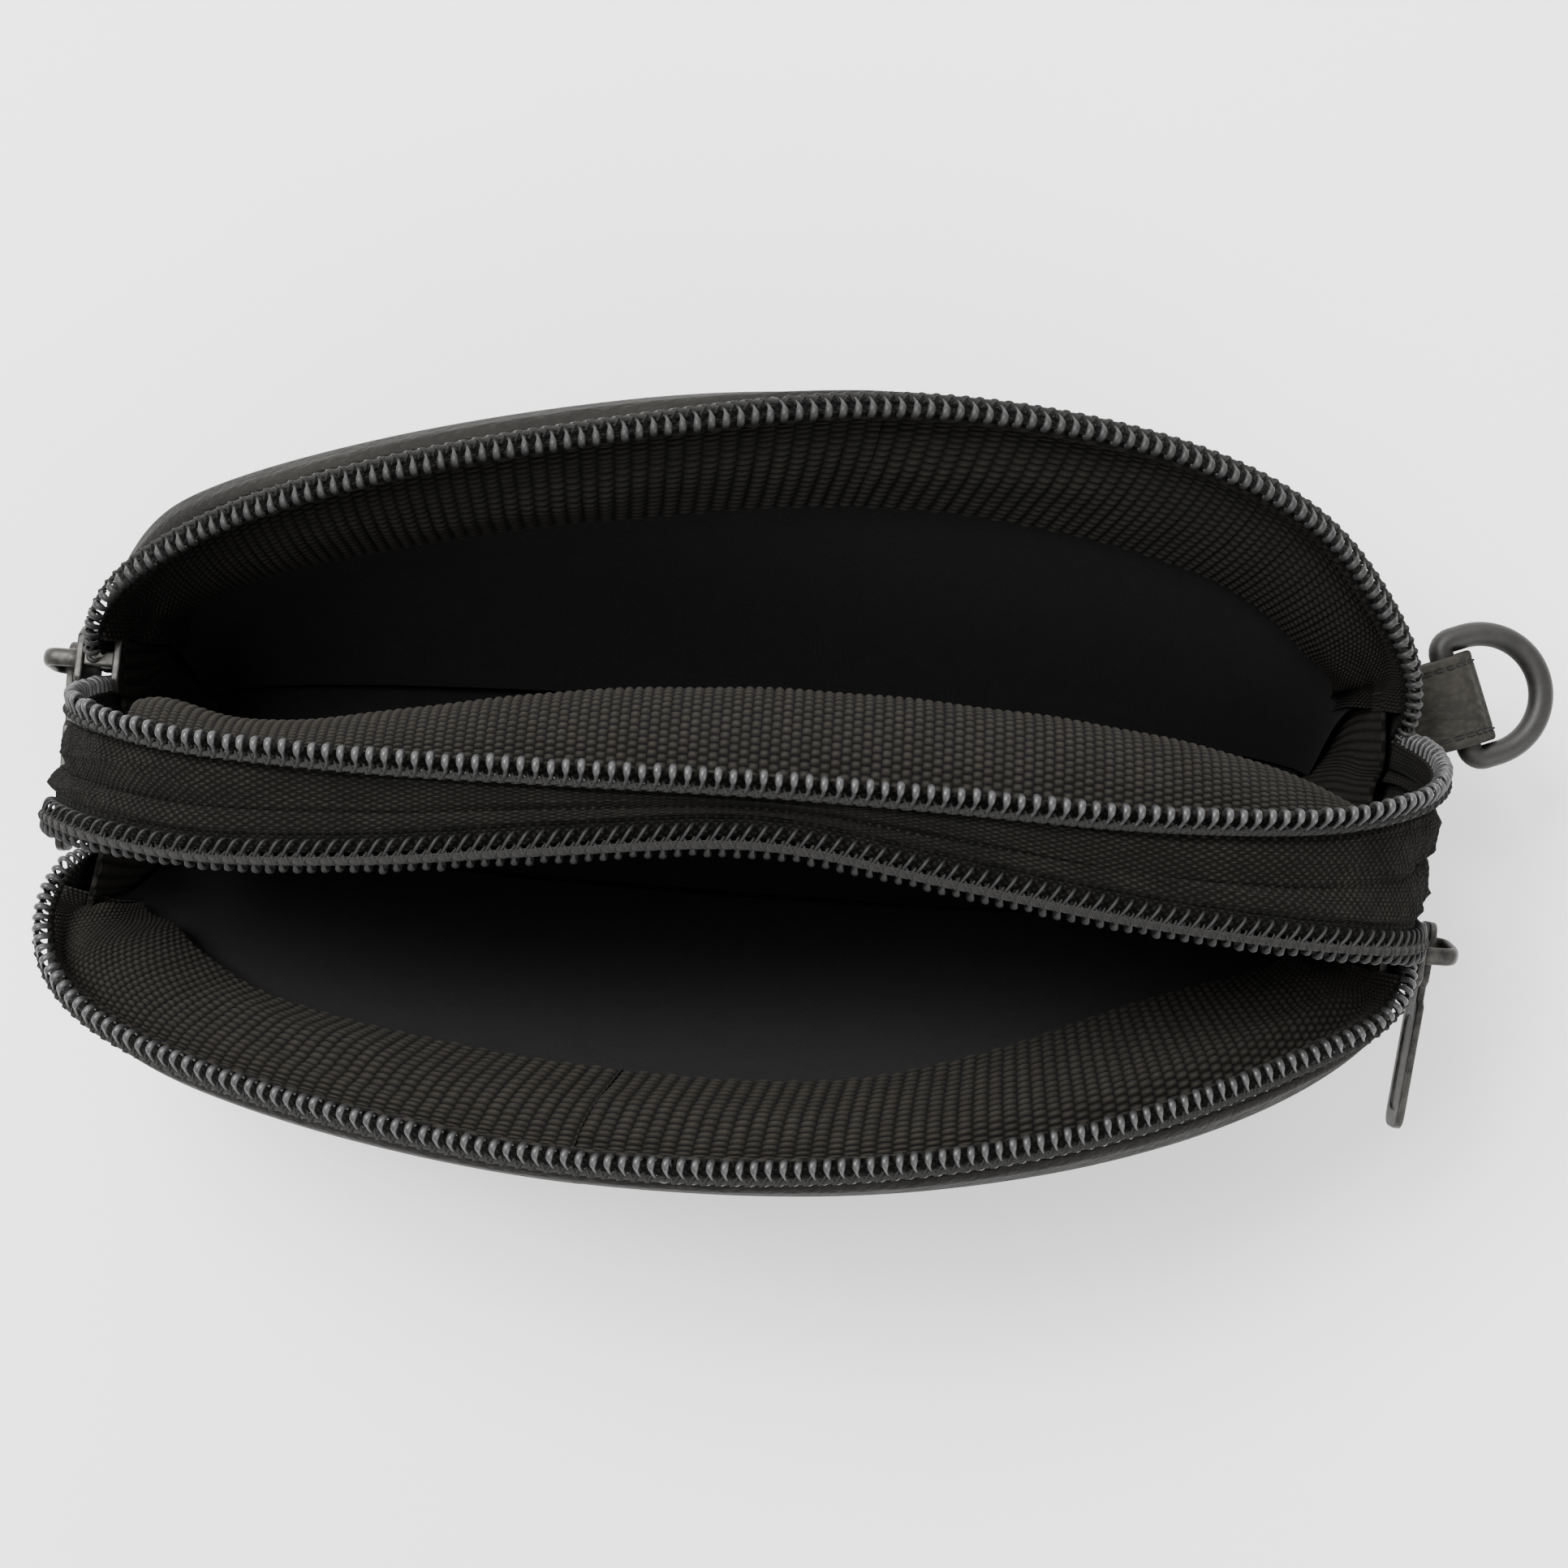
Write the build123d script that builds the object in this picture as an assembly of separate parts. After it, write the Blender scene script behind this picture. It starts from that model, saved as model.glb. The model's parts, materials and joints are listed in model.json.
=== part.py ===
from build123d import *
import math
import os

# A zipped pouch for several pairs of glasses, standing on its base with both mouths wide open.
# Millimetres. +Z is up out of the mouths, +X runs along the pouch towards its D-ring, and +Y
# points from the front compartment to the rear one. The origin is the middle of the base's
# underside. "Rear" is the +Y side and "front" the -Y side.

# ---- driving dimensions ------------------------------------------------------------------

BASE_HALF_LENGTH = 89.0       # along X, to the outside of the body
BASE_HALF_WIDTH = 17.0        # along Y, where each panel starts
BASE_SKIN = 1.8               # leather under the base
BASE_BOARD = 2.0              # stiffener in the base

LEATHER = 1.5                 # outer skin of a panel
BOARD = 2.4                   # stiff foam board in a panel
LINING = 0.7                  # felt lining
WEBBING = 1.3                 # coarse woven facing
TAPE = 0.7                    # zip tape and gusset
GAP = 0.15                    # air left between neighbouring layers
WALL_FOOT = 3.0               # height where the panels start
PANEL_BULGE = 3.0             # how far a panel bows outwards half way up

COIL_WIDTH = 4.7              # one half of a size 8 coil zip
COIL_THICK = 2.3
COIL_SET = 1.8                # how far a rim coil lies over its tape
TAPE_SEAM = 7.0               # tape sewn in between a panel's leather and its lining
TAPE_FREE = 3.4               # tape that bends inwards over the panel's edge
TAPE_UNDER_COIL = 2.2         # straight tape under the coil
RIM_CURL = 62.0               # degrees that a panel's tape bends inwards over its edge

# Top edge of each panel from its left end to its right end, as (x, y, z)
REAR_EDGE = [
    (-93.9, 16.5, 38.0), (-90.3, 25.5, 43.5), (-78.0, 34.5, 50.5), (-54.0, 42.5, 58.5),
    (-22.0, 49.5, 63.5), (14.0, 55.0, 65.5), (48.0, 53.0, 62.5), (72.0, 46.0, 55.0),
    (86.2, 34.6, 46.5), (91.6, 26.2, 41.0), (91.8, 19.2, 35.8),
]
FRONT_EDGE = [
    (-95.6, -18.8, 36.0), (-97.6, -24.0, 40.5), (-94.4, -33.0, 46.5), (-79.4, -41.0, 53.0),
    (-52.0, -47.0, 60.0), (-20.0, -50.5, 64.0), (14.0, -49.5, 64.5), (46.0, -44.0, 60.0),
    (72.0, -35.5, 52.0), (88.8, -26.5, 44.0), (94.3, -18.2, 38.0),
]
# Path of the gusset from its left foot, over the pouch, to its right foot:
# (x of its front edge, x of its rear edge, z, y of its front edge, y of its rear edge)
GUSSET = [
    (-88.0, -88.0, 3.0, -11.4, 11.4), (-90.6, -90.6, 14.0, -12.6, 12.6),
    (-92.5, -92.5, 26.0, -9.6, 6.4), (-94.0, -92.5, 40.0, -7.0, 5.8),
    (-95.5, -92.5, 52.0, -5.4, 4.4), (-91.5, -90.0, 60.5, -6.2, 3.6),
    (-84.0, -83.5, 67.8, -7.4, 2.9), (-70.0, -70.0, 74.2, -8.4, 1.6),
    (-48.0, -48.0, 78.6, -7.0, 0.9), (-24.0, -24.0, 80.3, -4.0, 1.2),
    (2.0, 2.0, 80.6, -1.4, 1.6), (26.0, 26.0, 80.2, -4.4, 1.3),
    (50.0, 50.0, 78.2, -7.6, 0.8), (71.0, 71.0, 74.0, -9.2, 1.8),
    (84.0, 84.5, 67.8, -9.6, 4.0), (90.0, 91.2, 60.5, -9.6, 6.2),
    (92.5, 93.6, 52.0, -9.0, 8.8), (92.5, 92.6, 40.0, -7.4, 11.4),
    (92.5, 91.2, 26.0, -7.6, 11.8), (90.6, 90.6, 14.0, -12.6, 12.6),
    (88.0, 88.0, 3.0, -11.4, 11.4),
]
GUSSET_CROWN = 80.6           # its highest point
GUSSET_SHOULDER = 40.0        # height where its ends turn over
ZIP_FOOT = 0.10               # where the zips end on its path, at each side
REAR_MID_TILT = 52.0          # degrees that the rear middle coil stands up from the gusset
FRONT_MID_TILT = -36.0        # degrees that the front middle coil leans down

PARTITION_HALF_LENGTH = 84.0
PARTITION_BOARD = 2.0
# How far the rear facing of the partition stands out, from its left end to its right end
ROLL = [1.2, 5.2, 2.8, 4.6, 8.8, 12.0, 12.6, 11.8, 8.8, 5.2, 1.4]
ROLL_DROP = 14.0              # how far it reaches below the gusset

SLIDER_LENGTH = 11.0
SLIDER_WIDTH = 9.6
SLIDER_PLATE = 1.1
SLIDER_GAP = 4.2              # between the two plates
SLIDER_POST = 2.4
BRIDGE_REACH = 5.4            # how far the bridge stands off the outer plate
BRIDGE_BAR = 1.2
BRIDGE_WIDTH = 2.6
BRIDGE_SPAN = 8.2             # outside length of the bridge
REAR_SLIDER = (-94.2, 13.0, 36.0)
FRONT_SLIDER = (94.4, -14.3, 36.0)
REAR_SLIDER_LEAN = 8.0        # degrees that a slider's mouth leans towards its panel
FRONT_SLIDER_LEAN = 10.0
PULL_REACH = 27.0             # from the hinge to the free end
PULL_WIDTH = 7.0
PULL_THICK = 1.1
PULL_LEAN = 6.0               # degrees that the front pull leans in towards the pouch
PULL_EYE = 4.4

TAB_WIDTH = 13.4
TAB_SKIN = 1.3
TAB_TURN = 21.0               # degrees that the tab points towards the rear
TAB_LENGTH = 10.6             # from its root to its fold
TAB_ROOT = (95.4, 19.6, 31.0)
RING_BAR = 6.9                # from the tab's root to the bar that it holds
RING_BOW = 8.9                # centre line of the ring's bow
RING_LEG = 3.8
RING_CORNER = 1.9
RING_WIRE = 3.6
RUNNING_GAP = 0.3             # between the tab and the ring's bar


# ---- curves and surfaces -----------------------------------------------------------------

def along(points, u):
    """Smooth curve through points, at u from 0 to 1; works on points of any size."""
    last = len(points) - 1
    s = min(max(u, 0.0), 1.0) * last
    i = min(int(s), last - 1)
    t = s - i
    b, c = points[i], points[i + 1]
    a = points[i - 1] if i > 0 else [2 * p - q for p, q in zip(b, c)]
    d = points[i + 2] if i + 2 <= last else [2 * q - p for p, q in zip(b, c)]
    return [
        0.5 * (2 * b[k] + (c[k] - a[k]) * t
               + (2 * a[k] - 5 * b[k] + 4 * c[k] - d[k]) * t ** 2
               + (3 * b[k] - a[k] - 3 * c[k] + d[k]) * t ** 3)
        for k in range(len(b))
    ]


def smooth(t):
    """Ramp from 0 to 1 with level ends."""
    t = min(max(t, 0.0), 1.0)
    return t * t * (3 - 2 * t)


def steps(low, high, count):
    """Evenly spaced values, both ends included."""
    return [low + (high - low) * i / (count - 1) for i in range(count)]


def normal_at(surface, u, v):
    """Unit normal of a surface given as a function of two values from 0 to 1."""
    e = 0.01
    du = surface(min(u + e, 1), v) - surface(max(u - e, 0), v)
    dv = surface(u, min(v + e, 1)) - surface(u, max(v - e, 0))
    return dv.cross(du).normalized()


def sheet(surface, us, vs, inner, outer):
    """Closed skin between two offsets of a surface, over the given stations."""
    faces = []
    for offset in (inner, outer):
        rows = [[surface(u, v) + normal_at(surface, u, v) * offset for u in us] for v in vs]
        faces.append(Face.make_surface_from_array_of_points(rows, tol=0.02))
    sides = [
        Face.make_surface_from_curves(a, b) for a, b in zip(faces[0].edges(), faces[1].edges())
    ]
    return Solid(Shell(faces + sides))


def side_sheet(side, surface, us, vs, inner, outer):
    """Skin whose offsets count outwards on both sides of the pouch."""
    low, high = sorted((side * inner, side * outer))
    return sheet(surface, us, vs, low, high)


def panel_edge(side, u):
    return Vector(*along(REAR_EDGE if side > 0 else FRONT_EDGE, u))


def panel(side):
    """Surface of a panel's outside; side is 1 for the rear panel and -1 for the front one."""
    def surface(u, v):
        turn = math.radians(-80 + 160 * u)
        foot = Vector(
            BASE_HALF_LENGTH * math.sin(turn) / math.sin(math.radians(80)),
            side * BASE_HALF_WIDTH * math.cos(turn) ** 0.2,
            WALL_FOOT,
        )
        top = panel_edge(side, u)
        bow = side * PANEL_BULGE * 4 * v * (1 - v)
        return foot + (top - foot) * v + Vector(0, bow, 0)
    return surface


def rim_frame(side, u):
    """Edge point of a panel, its upward direction along the wall, and its inward direction."""
    wall = panel(side)
    outward = normal_at(wall, u, 1.0) * side
    up = (wall(u, 1.0) - wall(u, 0.97)).normalized()
    return wall(u, 1.0), up, outward * -1


def rim_curl(u):
    """Angle that the tape bends inwards: little at the ends, most in the middle."""
    return math.radians(RIM_CURL) * (0.05 + 0.95 * smooth(min(u, 1 - u) / 0.2))


def tape_seam(u):
    """Depth of tape sewn in at u: less at the ends, where the sliders run."""
    return TAPE_SEAM * (0.2 + 0.8 * smooth(min(u, 1 - u) / 0.1))


def rim_tape(side):
    """Surface of a panel's zip tape: up the wall, over the edge, and under the coil."""
    wall = panel(side)

    def surface(u, v):
        point, up, inward = rim_frame(side, u)
        seam = tape_seam(u)
        run = (seam + TAPE_FREE + TAPE_UNDER_COIL) * v - seam
        if run <= 0:
            return wall(u, 1.0 + run / (point - wall(u, 0.0)).length)
        turn = rim_curl(u)
        bent = min(run / TAPE_FREE, 1.0) * turn
        radius = TAPE_FREE / turn
        curl = up * (radius * math.sin(bent)) + inward * (radius * (1 - math.cos(bent)))
        straight = max(run - TAPE_FREE, 0.0)
        return point + curl + (up * math.cos(turn) + inward * math.sin(turn)) * straight
    return surface


def rim_coil(side):
    """Surface under a panel's coil, from its back to the tips of its teeth."""
    tape = rim_tape(side)

    def surface(u, v):
        back = tape(u, 1.0)
        way = (back - tape(u, 0.97)).normalized()
        return back + way * (COIL_WIDTH * v - COIL_SET)
    return surface


def gusset(s, t):
    """Surface of the gusset that runs up one end, over the partition and down the other end."""
    front_x, rear_x, z, front, rear = along(GUSSET, s)
    return Vector(front_x + (rear_x - front_x) * t, front + (rear - front) * t, z)


def middle_coil(side):
    """Surface under a middle coil, from the gusset's edge to the tips of its teeth."""
    tilt = math.radians(REAR_MID_TILT if side > 0 else FRONT_MID_TILT)

    def surface(s, v):
        edge = gusset(s, 1.0 if side > 0 else 0.0)
        rise = tilt * smooth((0.5 - abs(s - 0.5) - 0.2) / 0.15)
        away = normal_at(gusset, s, 0.5) * -1
        way = Vector(0, side * math.cos(rise), 0) + away * math.sin(rise)
        return edge + way * (COIL_WIDTH * v + 0.6)
    return surface


def middle_tape(side):
    """Surface of a middle zip tape: from the gusset's edge to half way under the coil."""
    coil = middle_coil(side)

    def surface(s, v):
        return coil(s, 0.55 * v)
    return surface


def gusset_height(x):
    """Height of the gusset above the partition at x."""
    rise = GUSSET_CROWN - GUSSET_SHOULDER
    return GUSSET_SHOULDER + rise * (1 - abs(x / 95.0) ** 3) ** (1 / 3)


def roll(x):
    """How far the partition's rear facing stands out at x."""
    return along([(depth,) for depth in ROLL], (x + 84.0) / 168.0)[0]


# ---- base and partition ------------------------------------------------------------------

def rounded_slab(length, width, radius, low, high):
    """Flat slab with rounded corners, centred on the origin, from z low to z high."""
    slab = extrude(RectangleRounded(length, width, radius), amount=high - low)
    return Pos(0, 0, low) * slab


def base_leather():
    return rounded_slab(2 * BASE_HALF_LENGTH, 2 * BASE_HALF_WIDTH, 9.0, 0.0, BASE_SKIN)


def base_board():
    low = BASE_SKIN + GAP
    return rounded_slab(2 * BASE_HALF_LENGTH - 9.0, 24.0, 5.0, low, low + BASE_BOARD)


def base_lining(side):
    """Felt floor of one compartment, beside the partition."""
    low = BASE_SKIN + BASE_BOARD + 2 * GAP
    floor = rounded_slab(2 * BASE_HALF_LENGTH - 11.0, 9.0, 2.0, low, low + LINING)
    return Pos(0, side * 6.8, 0) * floor


def partition_board():
    """Stiff board between the two compartments, with its top following the gusset."""
    half = PARTITION_HALF_LENGTH
    crown = [(x, gusset_height(x) - 3.0) for x in steps(-half + 4, half - 4, 9)]
    outline = Polyline((-half + 4, crown[0][1]), (-half, 58.0), (-half, 6.0), (half, 6.0),
                       (half, 58.0), (half - 4, crown[-1][1]))
    sketch = make_face([*outline.edges(), Spline(crown[::-1])])
    board = extrude(Plane.XZ * sketch, amount=PARTITION_BOARD / 2, both=True)
    return board


def partition_lining(side):
    """Felt on one side of the partition; the rear one swells out under its facing."""
    def surface(u, v):
        x = -82.0 + 164.0 * u
        low, high = 6.0, gusset_height(x) - ROLL_DROP - 1.5
        z = low + (high - low) * v
        swell = roll(x) * smooth((v - 0.55) / 0.45) if side > 0 else 0.8 * v
        return Vector(x, side * (1.5 + swell), z)
    inner, outer = (0.0, LINING) if side > 0 else (-LINING, 0.0)
    return sheet(surface, steps(0, 1, 17), steps(0, 1, 9), inner, outer)


def partition_webbing(side):
    """Woven facing of one side of the partition, hung from the gusset."""
    def surface(u, v):
        x = -80.0 + 160.0 * u
        top = gusset_height(x) - 3.2
        out = roll(x) if side > 0 else 0.9
        path = [(1.6, top), (1.8 + 0.62 * out, top - 3.6), (2.2 + out, top - 8.8),
                (2.0 + out, top - ROLL_DROP + 3.6)]
        y, z = along(path, v)
        return Vector(x, side * (y + WEBBING), z)
    inner, outer = (0.0, WEBBING) if side < 0 else (-WEBBING, 0.0)
    return sheet(surface, steps(0, 1, 17), steps(0, 1, 7), inner, outer)


def gusset_strip():
    return sheet(gusset, steps(0.0, 1.0, 41), steps(0, 1, 3), -TAPE / 2, TAPE / 2)


# ---- zips --------------------------------------------------------------------------------

def middle_tape_solid(side):
    low, high = GAP, GAP + TAPE
    us = steps(ZIP_FOOT, 1 - ZIP_FOOT, 41)
    return side_sheet(-side, middle_tape(side), us, steps(0, 1, 3), low, high)


def middle_coil_solid(side):
    low = TAPE + 2 * GAP
    us = steps(ZIP_FOOT, 1 - ZIP_FOOT, 41)
    return side_sheet(-side, middle_coil(side), us, steps(0, 1, 3), low, low + COIL_THICK)


def rim_tape_solid(side):
    tape = rim_tape(side)
    return side_sheet(side, tape, steps(0, 1, 31), steps(0, 1, 12), -TAPE - GAP, -GAP)


def rim_coil_solid(side):
    coil = rim_coil(side)
    return side_sheet(side, coil, steps(0, 1, 31), steps(0, 1, 3), GAP, GAP + COIL_THICK)


def end_stops():
    """Four stops that close the feet of the zips."""
    stops = []
    for side in (1, -1):
        for s in (ZIP_FOOT, 1 - ZIP_FOOT):
            foot = middle_coil(side)(s, 0.6)
            out = 2.2 if foot.X > 0 else -2.2
            stops.append(Pos(foot.X + out, foot.Y, foot.Z - 1.8) * Box(2.6, 6.0, 2.2))
    return Compound(children=stops)


# ---- panels ------------------------------------------------------------------------------

def panel_layer(side, us, vs, inner, outer):
    """Layer of a panel between two depths, measured outwards from its surface."""
    return side_sheet(side, panel(side), us, vs, inner, outer)


def panel_leather(side):
    return panel_layer(side, steps(0, 1, 31), steps(0, 1, 7), 0.0, LEATHER)


def panel_board(side):
    deep = TAPE + 2 * GAP
    return panel_layer(side, steps(0.18, 0.82, 15), steps(0.07, 0.86, 6), -deep - BOARD, -deep)


def panel_lining(side):
    deep = TAPE + BOARD + 3 * GAP
    return panel_layer(side, steps(0.02, 0.98, 31), steps(0.07, 0.93, 7), -deep - LINING, -deep)


def panel_webbing(side):
    deep = TAPE + BOARD + LINING + 4 * GAP
    return panel_layer(side, steps(0.04, 0.96, 31), steps(0.78, 1.0, 4), -deep - WEBBING, -deep)


# ---- sliders, pulls and D-ring -----------------------------------------------------------

def slider_plane(side):
    """Frame of a slider: local X towards its panel, Y to its tail, Z away from the pouch."""
    centre = REAR_SLIDER if side > 0 else FRONT_SLIDER
    lean = math.radians(REAR_SLIDER_LEAN if side > 0 else FRONT_SLIDER_LEAN)
    across = (0, side * math.cos(lean), -math.sin(lean))
    return Plane(origin=centre, x_dir=across, z_dir=(-side, 0, 0))


def slider_body(side):
    """Two plates joined by the post that splits the zip, with rails on the outer plate."""
    half, tail = SLIDER_WIDTH / 2, SLIDER_WIDTH / 2 - 1.3
    end = SLIDER_LENGTH / 2
    outline = Polyline((-half, -end + 2.0), (-half + 1.6, -end), (half - 1.6, -end),
                       (half, -end + 2.0), (tail, end), (-tail, end), close=True)
    plate = extrude(make_face(outline), amount=SLIDER_PLATE)
    plate = fillet(plate.edges().filter_by(Axis.Z), 0.8)
    outer = Pos(0, 0, SLIDER_GAP / 2) * plate
    inner = Pos(0, 0, -SLIDER_GAP / 2 - SLIDER_PLATE) * plate
    post = Pos(0, -end + 2.2, 0) * Box(SLIDER_POST, 3.6, SLIDER_GAP + 0.2)
    post = fillet(post.edges().filter_by(Axis.Z), 0.9)
    return slider_plane(side) * (outer + inner + post)


def slider_bridge(side):
    """Arch on the outer plate that holds the pull."""
    half = BRIDGE_SPAN / 2
    reach = BRIDGE_REACH
    foot = SLIDER_GAP / 2 + SLIDER_PLATE + 0.01
    profile = RectangleRounded(2 * half, 2 * reach, 1.9) - RectangleRounded(
        2 * half - 2 * BRIDGE_BAR, 2 * reach - 2 * BRIDGE_BAR, 0.9)
    profile = profile & Pos(0, reach / 2) * Rectangle(2 * half, reach)
    arch = extrude(Plane(origin=(0, 0, foot), x_dir=(0, 1, 0), z_dir=(1, 0, 0)) * profile,
                   amount=BRIDGE_WIDTH / 2, both=True)
    return slider_plane(side) * arch


def pull_hinge(side):
    """Middle of the bridge's tail leg, which the pull's eye goes round."""
    depth = SLIDER_GAP / 2 + SLIDER_PLATE + (BRIDGE_REACH - BRIDGE_BAR) / 2
    leg = BRIDGE_SPAN / 2 - BRIDGE_BAR / 2
    return slider_plane(side).from_local_coords(Vector(0, leg, depth))


def slider_pull(side):
    """Long flat pull with an eye at one end, turned to point towards the front."""
    eye = PULL_WIDTH / 2
    blade = Pos((eye - PULL_REACH) / 2, 0) * RectangleRounded(PULL_REACH + eye, PULL_WIDTH, 2.4)
    waist = Pos(-7.0, 0) * (RectangleRounded(4.0, 12.0, 1.9) - Rectangle(4.0, PULL_WIDTH - 1.8))
    shape = blade - Circle(PULL_EYE / 2) - waist
    pull = extrude(shape, amount=PULL_THICK / 2, both=True)
    recess = Pos(-17.0, 0, PULL_THICK / 2) * extrude(RectangleRounded(13.0, 4.0, 1.6), amount=-0.3)
    upright = Plane(origin=pull_hinge(side), x_dir=(0, 1, 0), z_dir=(-side, 0, 0))
    lean = PULL_LEAN if side < 0 else 0.0
    return upright * Rot(0, -lean, 0) * (pull - recess)


def ring_place():
    """Middle of the ring's bar, turned with the tab."""
    return Pos(*TAB_ROOT) * Rot(0, 0, TAB_TURN) * Pos(RING_BAR, 0, 0)


def d_ring():
    """Bent wire ring: a bar, two short legs and a round bow."""
    bow = RING_BOW
    corner = RING_CORNER
    bar = Line((0, -bow + corner), (0, bow - corner))
    top_corner = RadiusArc((0, bow - corner), (corner, bow), corner)
    top_leg = Line((corner, bow), (RING_LEG, bow))
    arc = ThreePointArc((RING_LEG, bow), (RING_LEG + bow, 0), (RING_LEG, -bow))
    low_leg = Line((RING_LEG, -bow), (corner, -bow))
    low_corner = RadiusArc((corner, -bow), (0, -bow + corner), corner)
    path = Wire([*bar.edges(), *top_corner.edges(), *top_leg.edges(), *arc.edges(),
                 *low_leg.edges(), *low_corner.edges()])
    section = Plane(origin=(0, 0, 0), z_dir=(0, 1, 0)) * Circle(RING_WIRE / 2)
    return ring_place() * sweep(section, path=path)


def d_ring_tab():
    """Leather strap folded round the ring's bar."""
    hold = RING_WIRE / 2 + RUNNING_GAP
    fold = Pos(TAB_LENGTH - 1.5, 0)
    skin = make_hull((Pos(RING_BAR, 0) * Circle(hold + TAB_SKIN)).edges()
                     + (fold * Circle(1.5)).edges() + (Pos(0.7, 0) * Circle(1.5)).edges())
    room = make_hull((Pos(RING_BAR, 0) * Circle(hold)).edges() + (fold * Circle(0.3)).edges())
    strap = extrude(Plane.XZ * (skin - room), amount=TAB_WIDTH / 2, both=True)
    return Pos(*TAB_ROOT) * Rot(0, 0, TAB_TURN) * strap


# ---- all the parts -----------------------------------------------------------------------

parts = {
    "base_leather": base_leather(),
    "base_board": base_board(),
    "base_lining_rear": base_lining(1),
    "base_lining_front": base_lining(-1),
    "partition_board": partition_board(),
    "partition_lining_rear": partition_lining(1),
    "partition_lining_front": partition_lining(-1),
    "partition_webbing_rear": partition_webbing(1),
    "partition_webbing_front": partition_webbing(-1),
    "gusset_strip": gusset_strip(),
    "zip_end_stops": end_stops(),
    "d_ring_tab": d_ring_tab(),
    "d_ring": d_ring(),
}
for name, side in (("rear", 1), ("front", -1)):
    parts[name + "_middle_tape"] = middle_tape_solid(side)
    parts[name + "_middle_coil"] = middle_coil_solid(side)
    parts[name + "_rim_tape"] = rim_tape_solid(side)
    parts[name + "_rim_coil"] = rim_coil_solid(side)
    parts[name + "_panel_leather"] = panel_leather(side)
    parts[name + "_panel_board"] = panel_board(side)
    parts[name + "_panel_lining"] = panel_lining(side)
    parts[name + "_panel_webbing"] = panel_webbing(side)
    parts[name + "_slider_body"] = slider_body(side)
    parts[name + "_slider_bridge"] = slider_bridge(side)
    parts[name + "_slider_pull"] = slider_pull(side)

os.makedirs("parts", exist_ok=True)
for name, solid in parts.items():
    export_step(solid, f"parts/{name}.step")
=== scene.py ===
import json
import math

import bmesh
import bpy
import numpy as np
from mathutils import Matrix, Vector


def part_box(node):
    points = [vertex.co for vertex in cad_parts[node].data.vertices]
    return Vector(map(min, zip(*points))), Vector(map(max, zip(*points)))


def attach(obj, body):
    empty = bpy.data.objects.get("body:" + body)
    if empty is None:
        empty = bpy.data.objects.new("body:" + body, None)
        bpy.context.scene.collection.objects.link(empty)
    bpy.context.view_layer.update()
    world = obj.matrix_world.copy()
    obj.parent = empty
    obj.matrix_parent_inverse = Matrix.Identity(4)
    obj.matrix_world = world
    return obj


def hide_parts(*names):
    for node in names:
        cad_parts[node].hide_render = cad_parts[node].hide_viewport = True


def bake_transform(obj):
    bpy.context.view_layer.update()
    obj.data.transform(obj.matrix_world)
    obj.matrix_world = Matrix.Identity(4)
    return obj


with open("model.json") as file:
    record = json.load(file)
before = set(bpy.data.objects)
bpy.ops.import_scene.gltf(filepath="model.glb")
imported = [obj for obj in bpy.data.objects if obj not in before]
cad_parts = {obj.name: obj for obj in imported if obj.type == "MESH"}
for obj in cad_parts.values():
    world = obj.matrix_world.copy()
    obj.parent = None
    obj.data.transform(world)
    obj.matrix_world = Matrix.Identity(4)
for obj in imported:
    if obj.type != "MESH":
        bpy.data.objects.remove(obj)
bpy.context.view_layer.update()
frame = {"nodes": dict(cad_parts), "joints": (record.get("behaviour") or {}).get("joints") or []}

MM = 0.001
rng = np.random.default_rng(11)
nodes = frame["nodes"]

# ---- the pouch's own curves, in millimetres, as in the CAD model ---------------------------

REAR_EDGE = [
    (-93.9, 16.5, 38.0), (-90.3, 25.5, 43.5), (-78.0, 34.5, 50.5), (-54.0, 42.5, 58.5),
    (-22.0, 49.5, 63.5), (14.0, 55.0, 65.5), (48.0, 53.0, 62.5), (72.0, 46.0, 55.0),
    (86.2, 34.6, 46.5), (91.6, 26.2, 41.0), (91.8, 19.2, 35.8),
]
FRONT_EDGE = [
    (-95.6, -18.8, 36.0), (-97.6, -24.0, 40.5), (-94.4, -33.0, 46.5), (-79.4, -41.0, 53.0),
    (-52.0, -47.0, 60.0), (-20.0, -50.5, 64.0), (14.0, -49.5, 64.5), (46.0, -44.0, 60.0),
    (72.0, -35.5, 52.0), (88.8, -26.5, 44.0), (94.3, -18.2, 38.0),
]
GUSSET = [
    (-88.0, -88.0, 3.0, -11.4, 11.4), (-90.6, -90.6, 14.0, -12.6, 12.6),
    (-92.5, -92.5, 26.0, -9.6, 6.4), (-94.0, -92.5, 40.0, -7.0, 5.8),
    (-95.5, -92.5, 52.0, -5.4, 4.4), (-91.5, -90.0, 60.5, -6.2, 3.6),
    (-84.0, -83.5, 67.8, -7.4, 2.9), (-70.0, -70.0, 74.2, -8.4, 1.6),
    (-48.0, -48.0, 78.6, -7.0, 0.9), (-24.0, -24.0, 80.3, -4.0, 1.2),
    (2.0, 2.0, 80.6, -1.4, 1.6), (26.0, 26.0, 80.2, -4.4, 1.3),
    (50.0, 50.0, 78.2, -7.6, 0.8), (71.0, 71.0, 74.0, -9.2, 1.8),
    (84.0, 84.5, 67.8, -9.6, 4.0), (90.0, 91.2, 60.5, -9.6, 6.2),
    (92.5, 93.6, 52.0, -9.0, 8.8), (92.5, 92.6, 40.0, -7.4, 11.4),
    (92.5, 91.2, 26.0, -7.6, 11.8), (90.6, 90.6, 14.0, -12.6, 12.6),
    (88.0, 88.0, 3.0, -11.4, 11.4),
]
EDGES = {1: REAR_EDGE, -1: FRONT_EDGE}
GUSSET_CROWN, GUSSET_SHOULDER, GUSSET_REACH = 80.6, 40.0, 95.0
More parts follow.
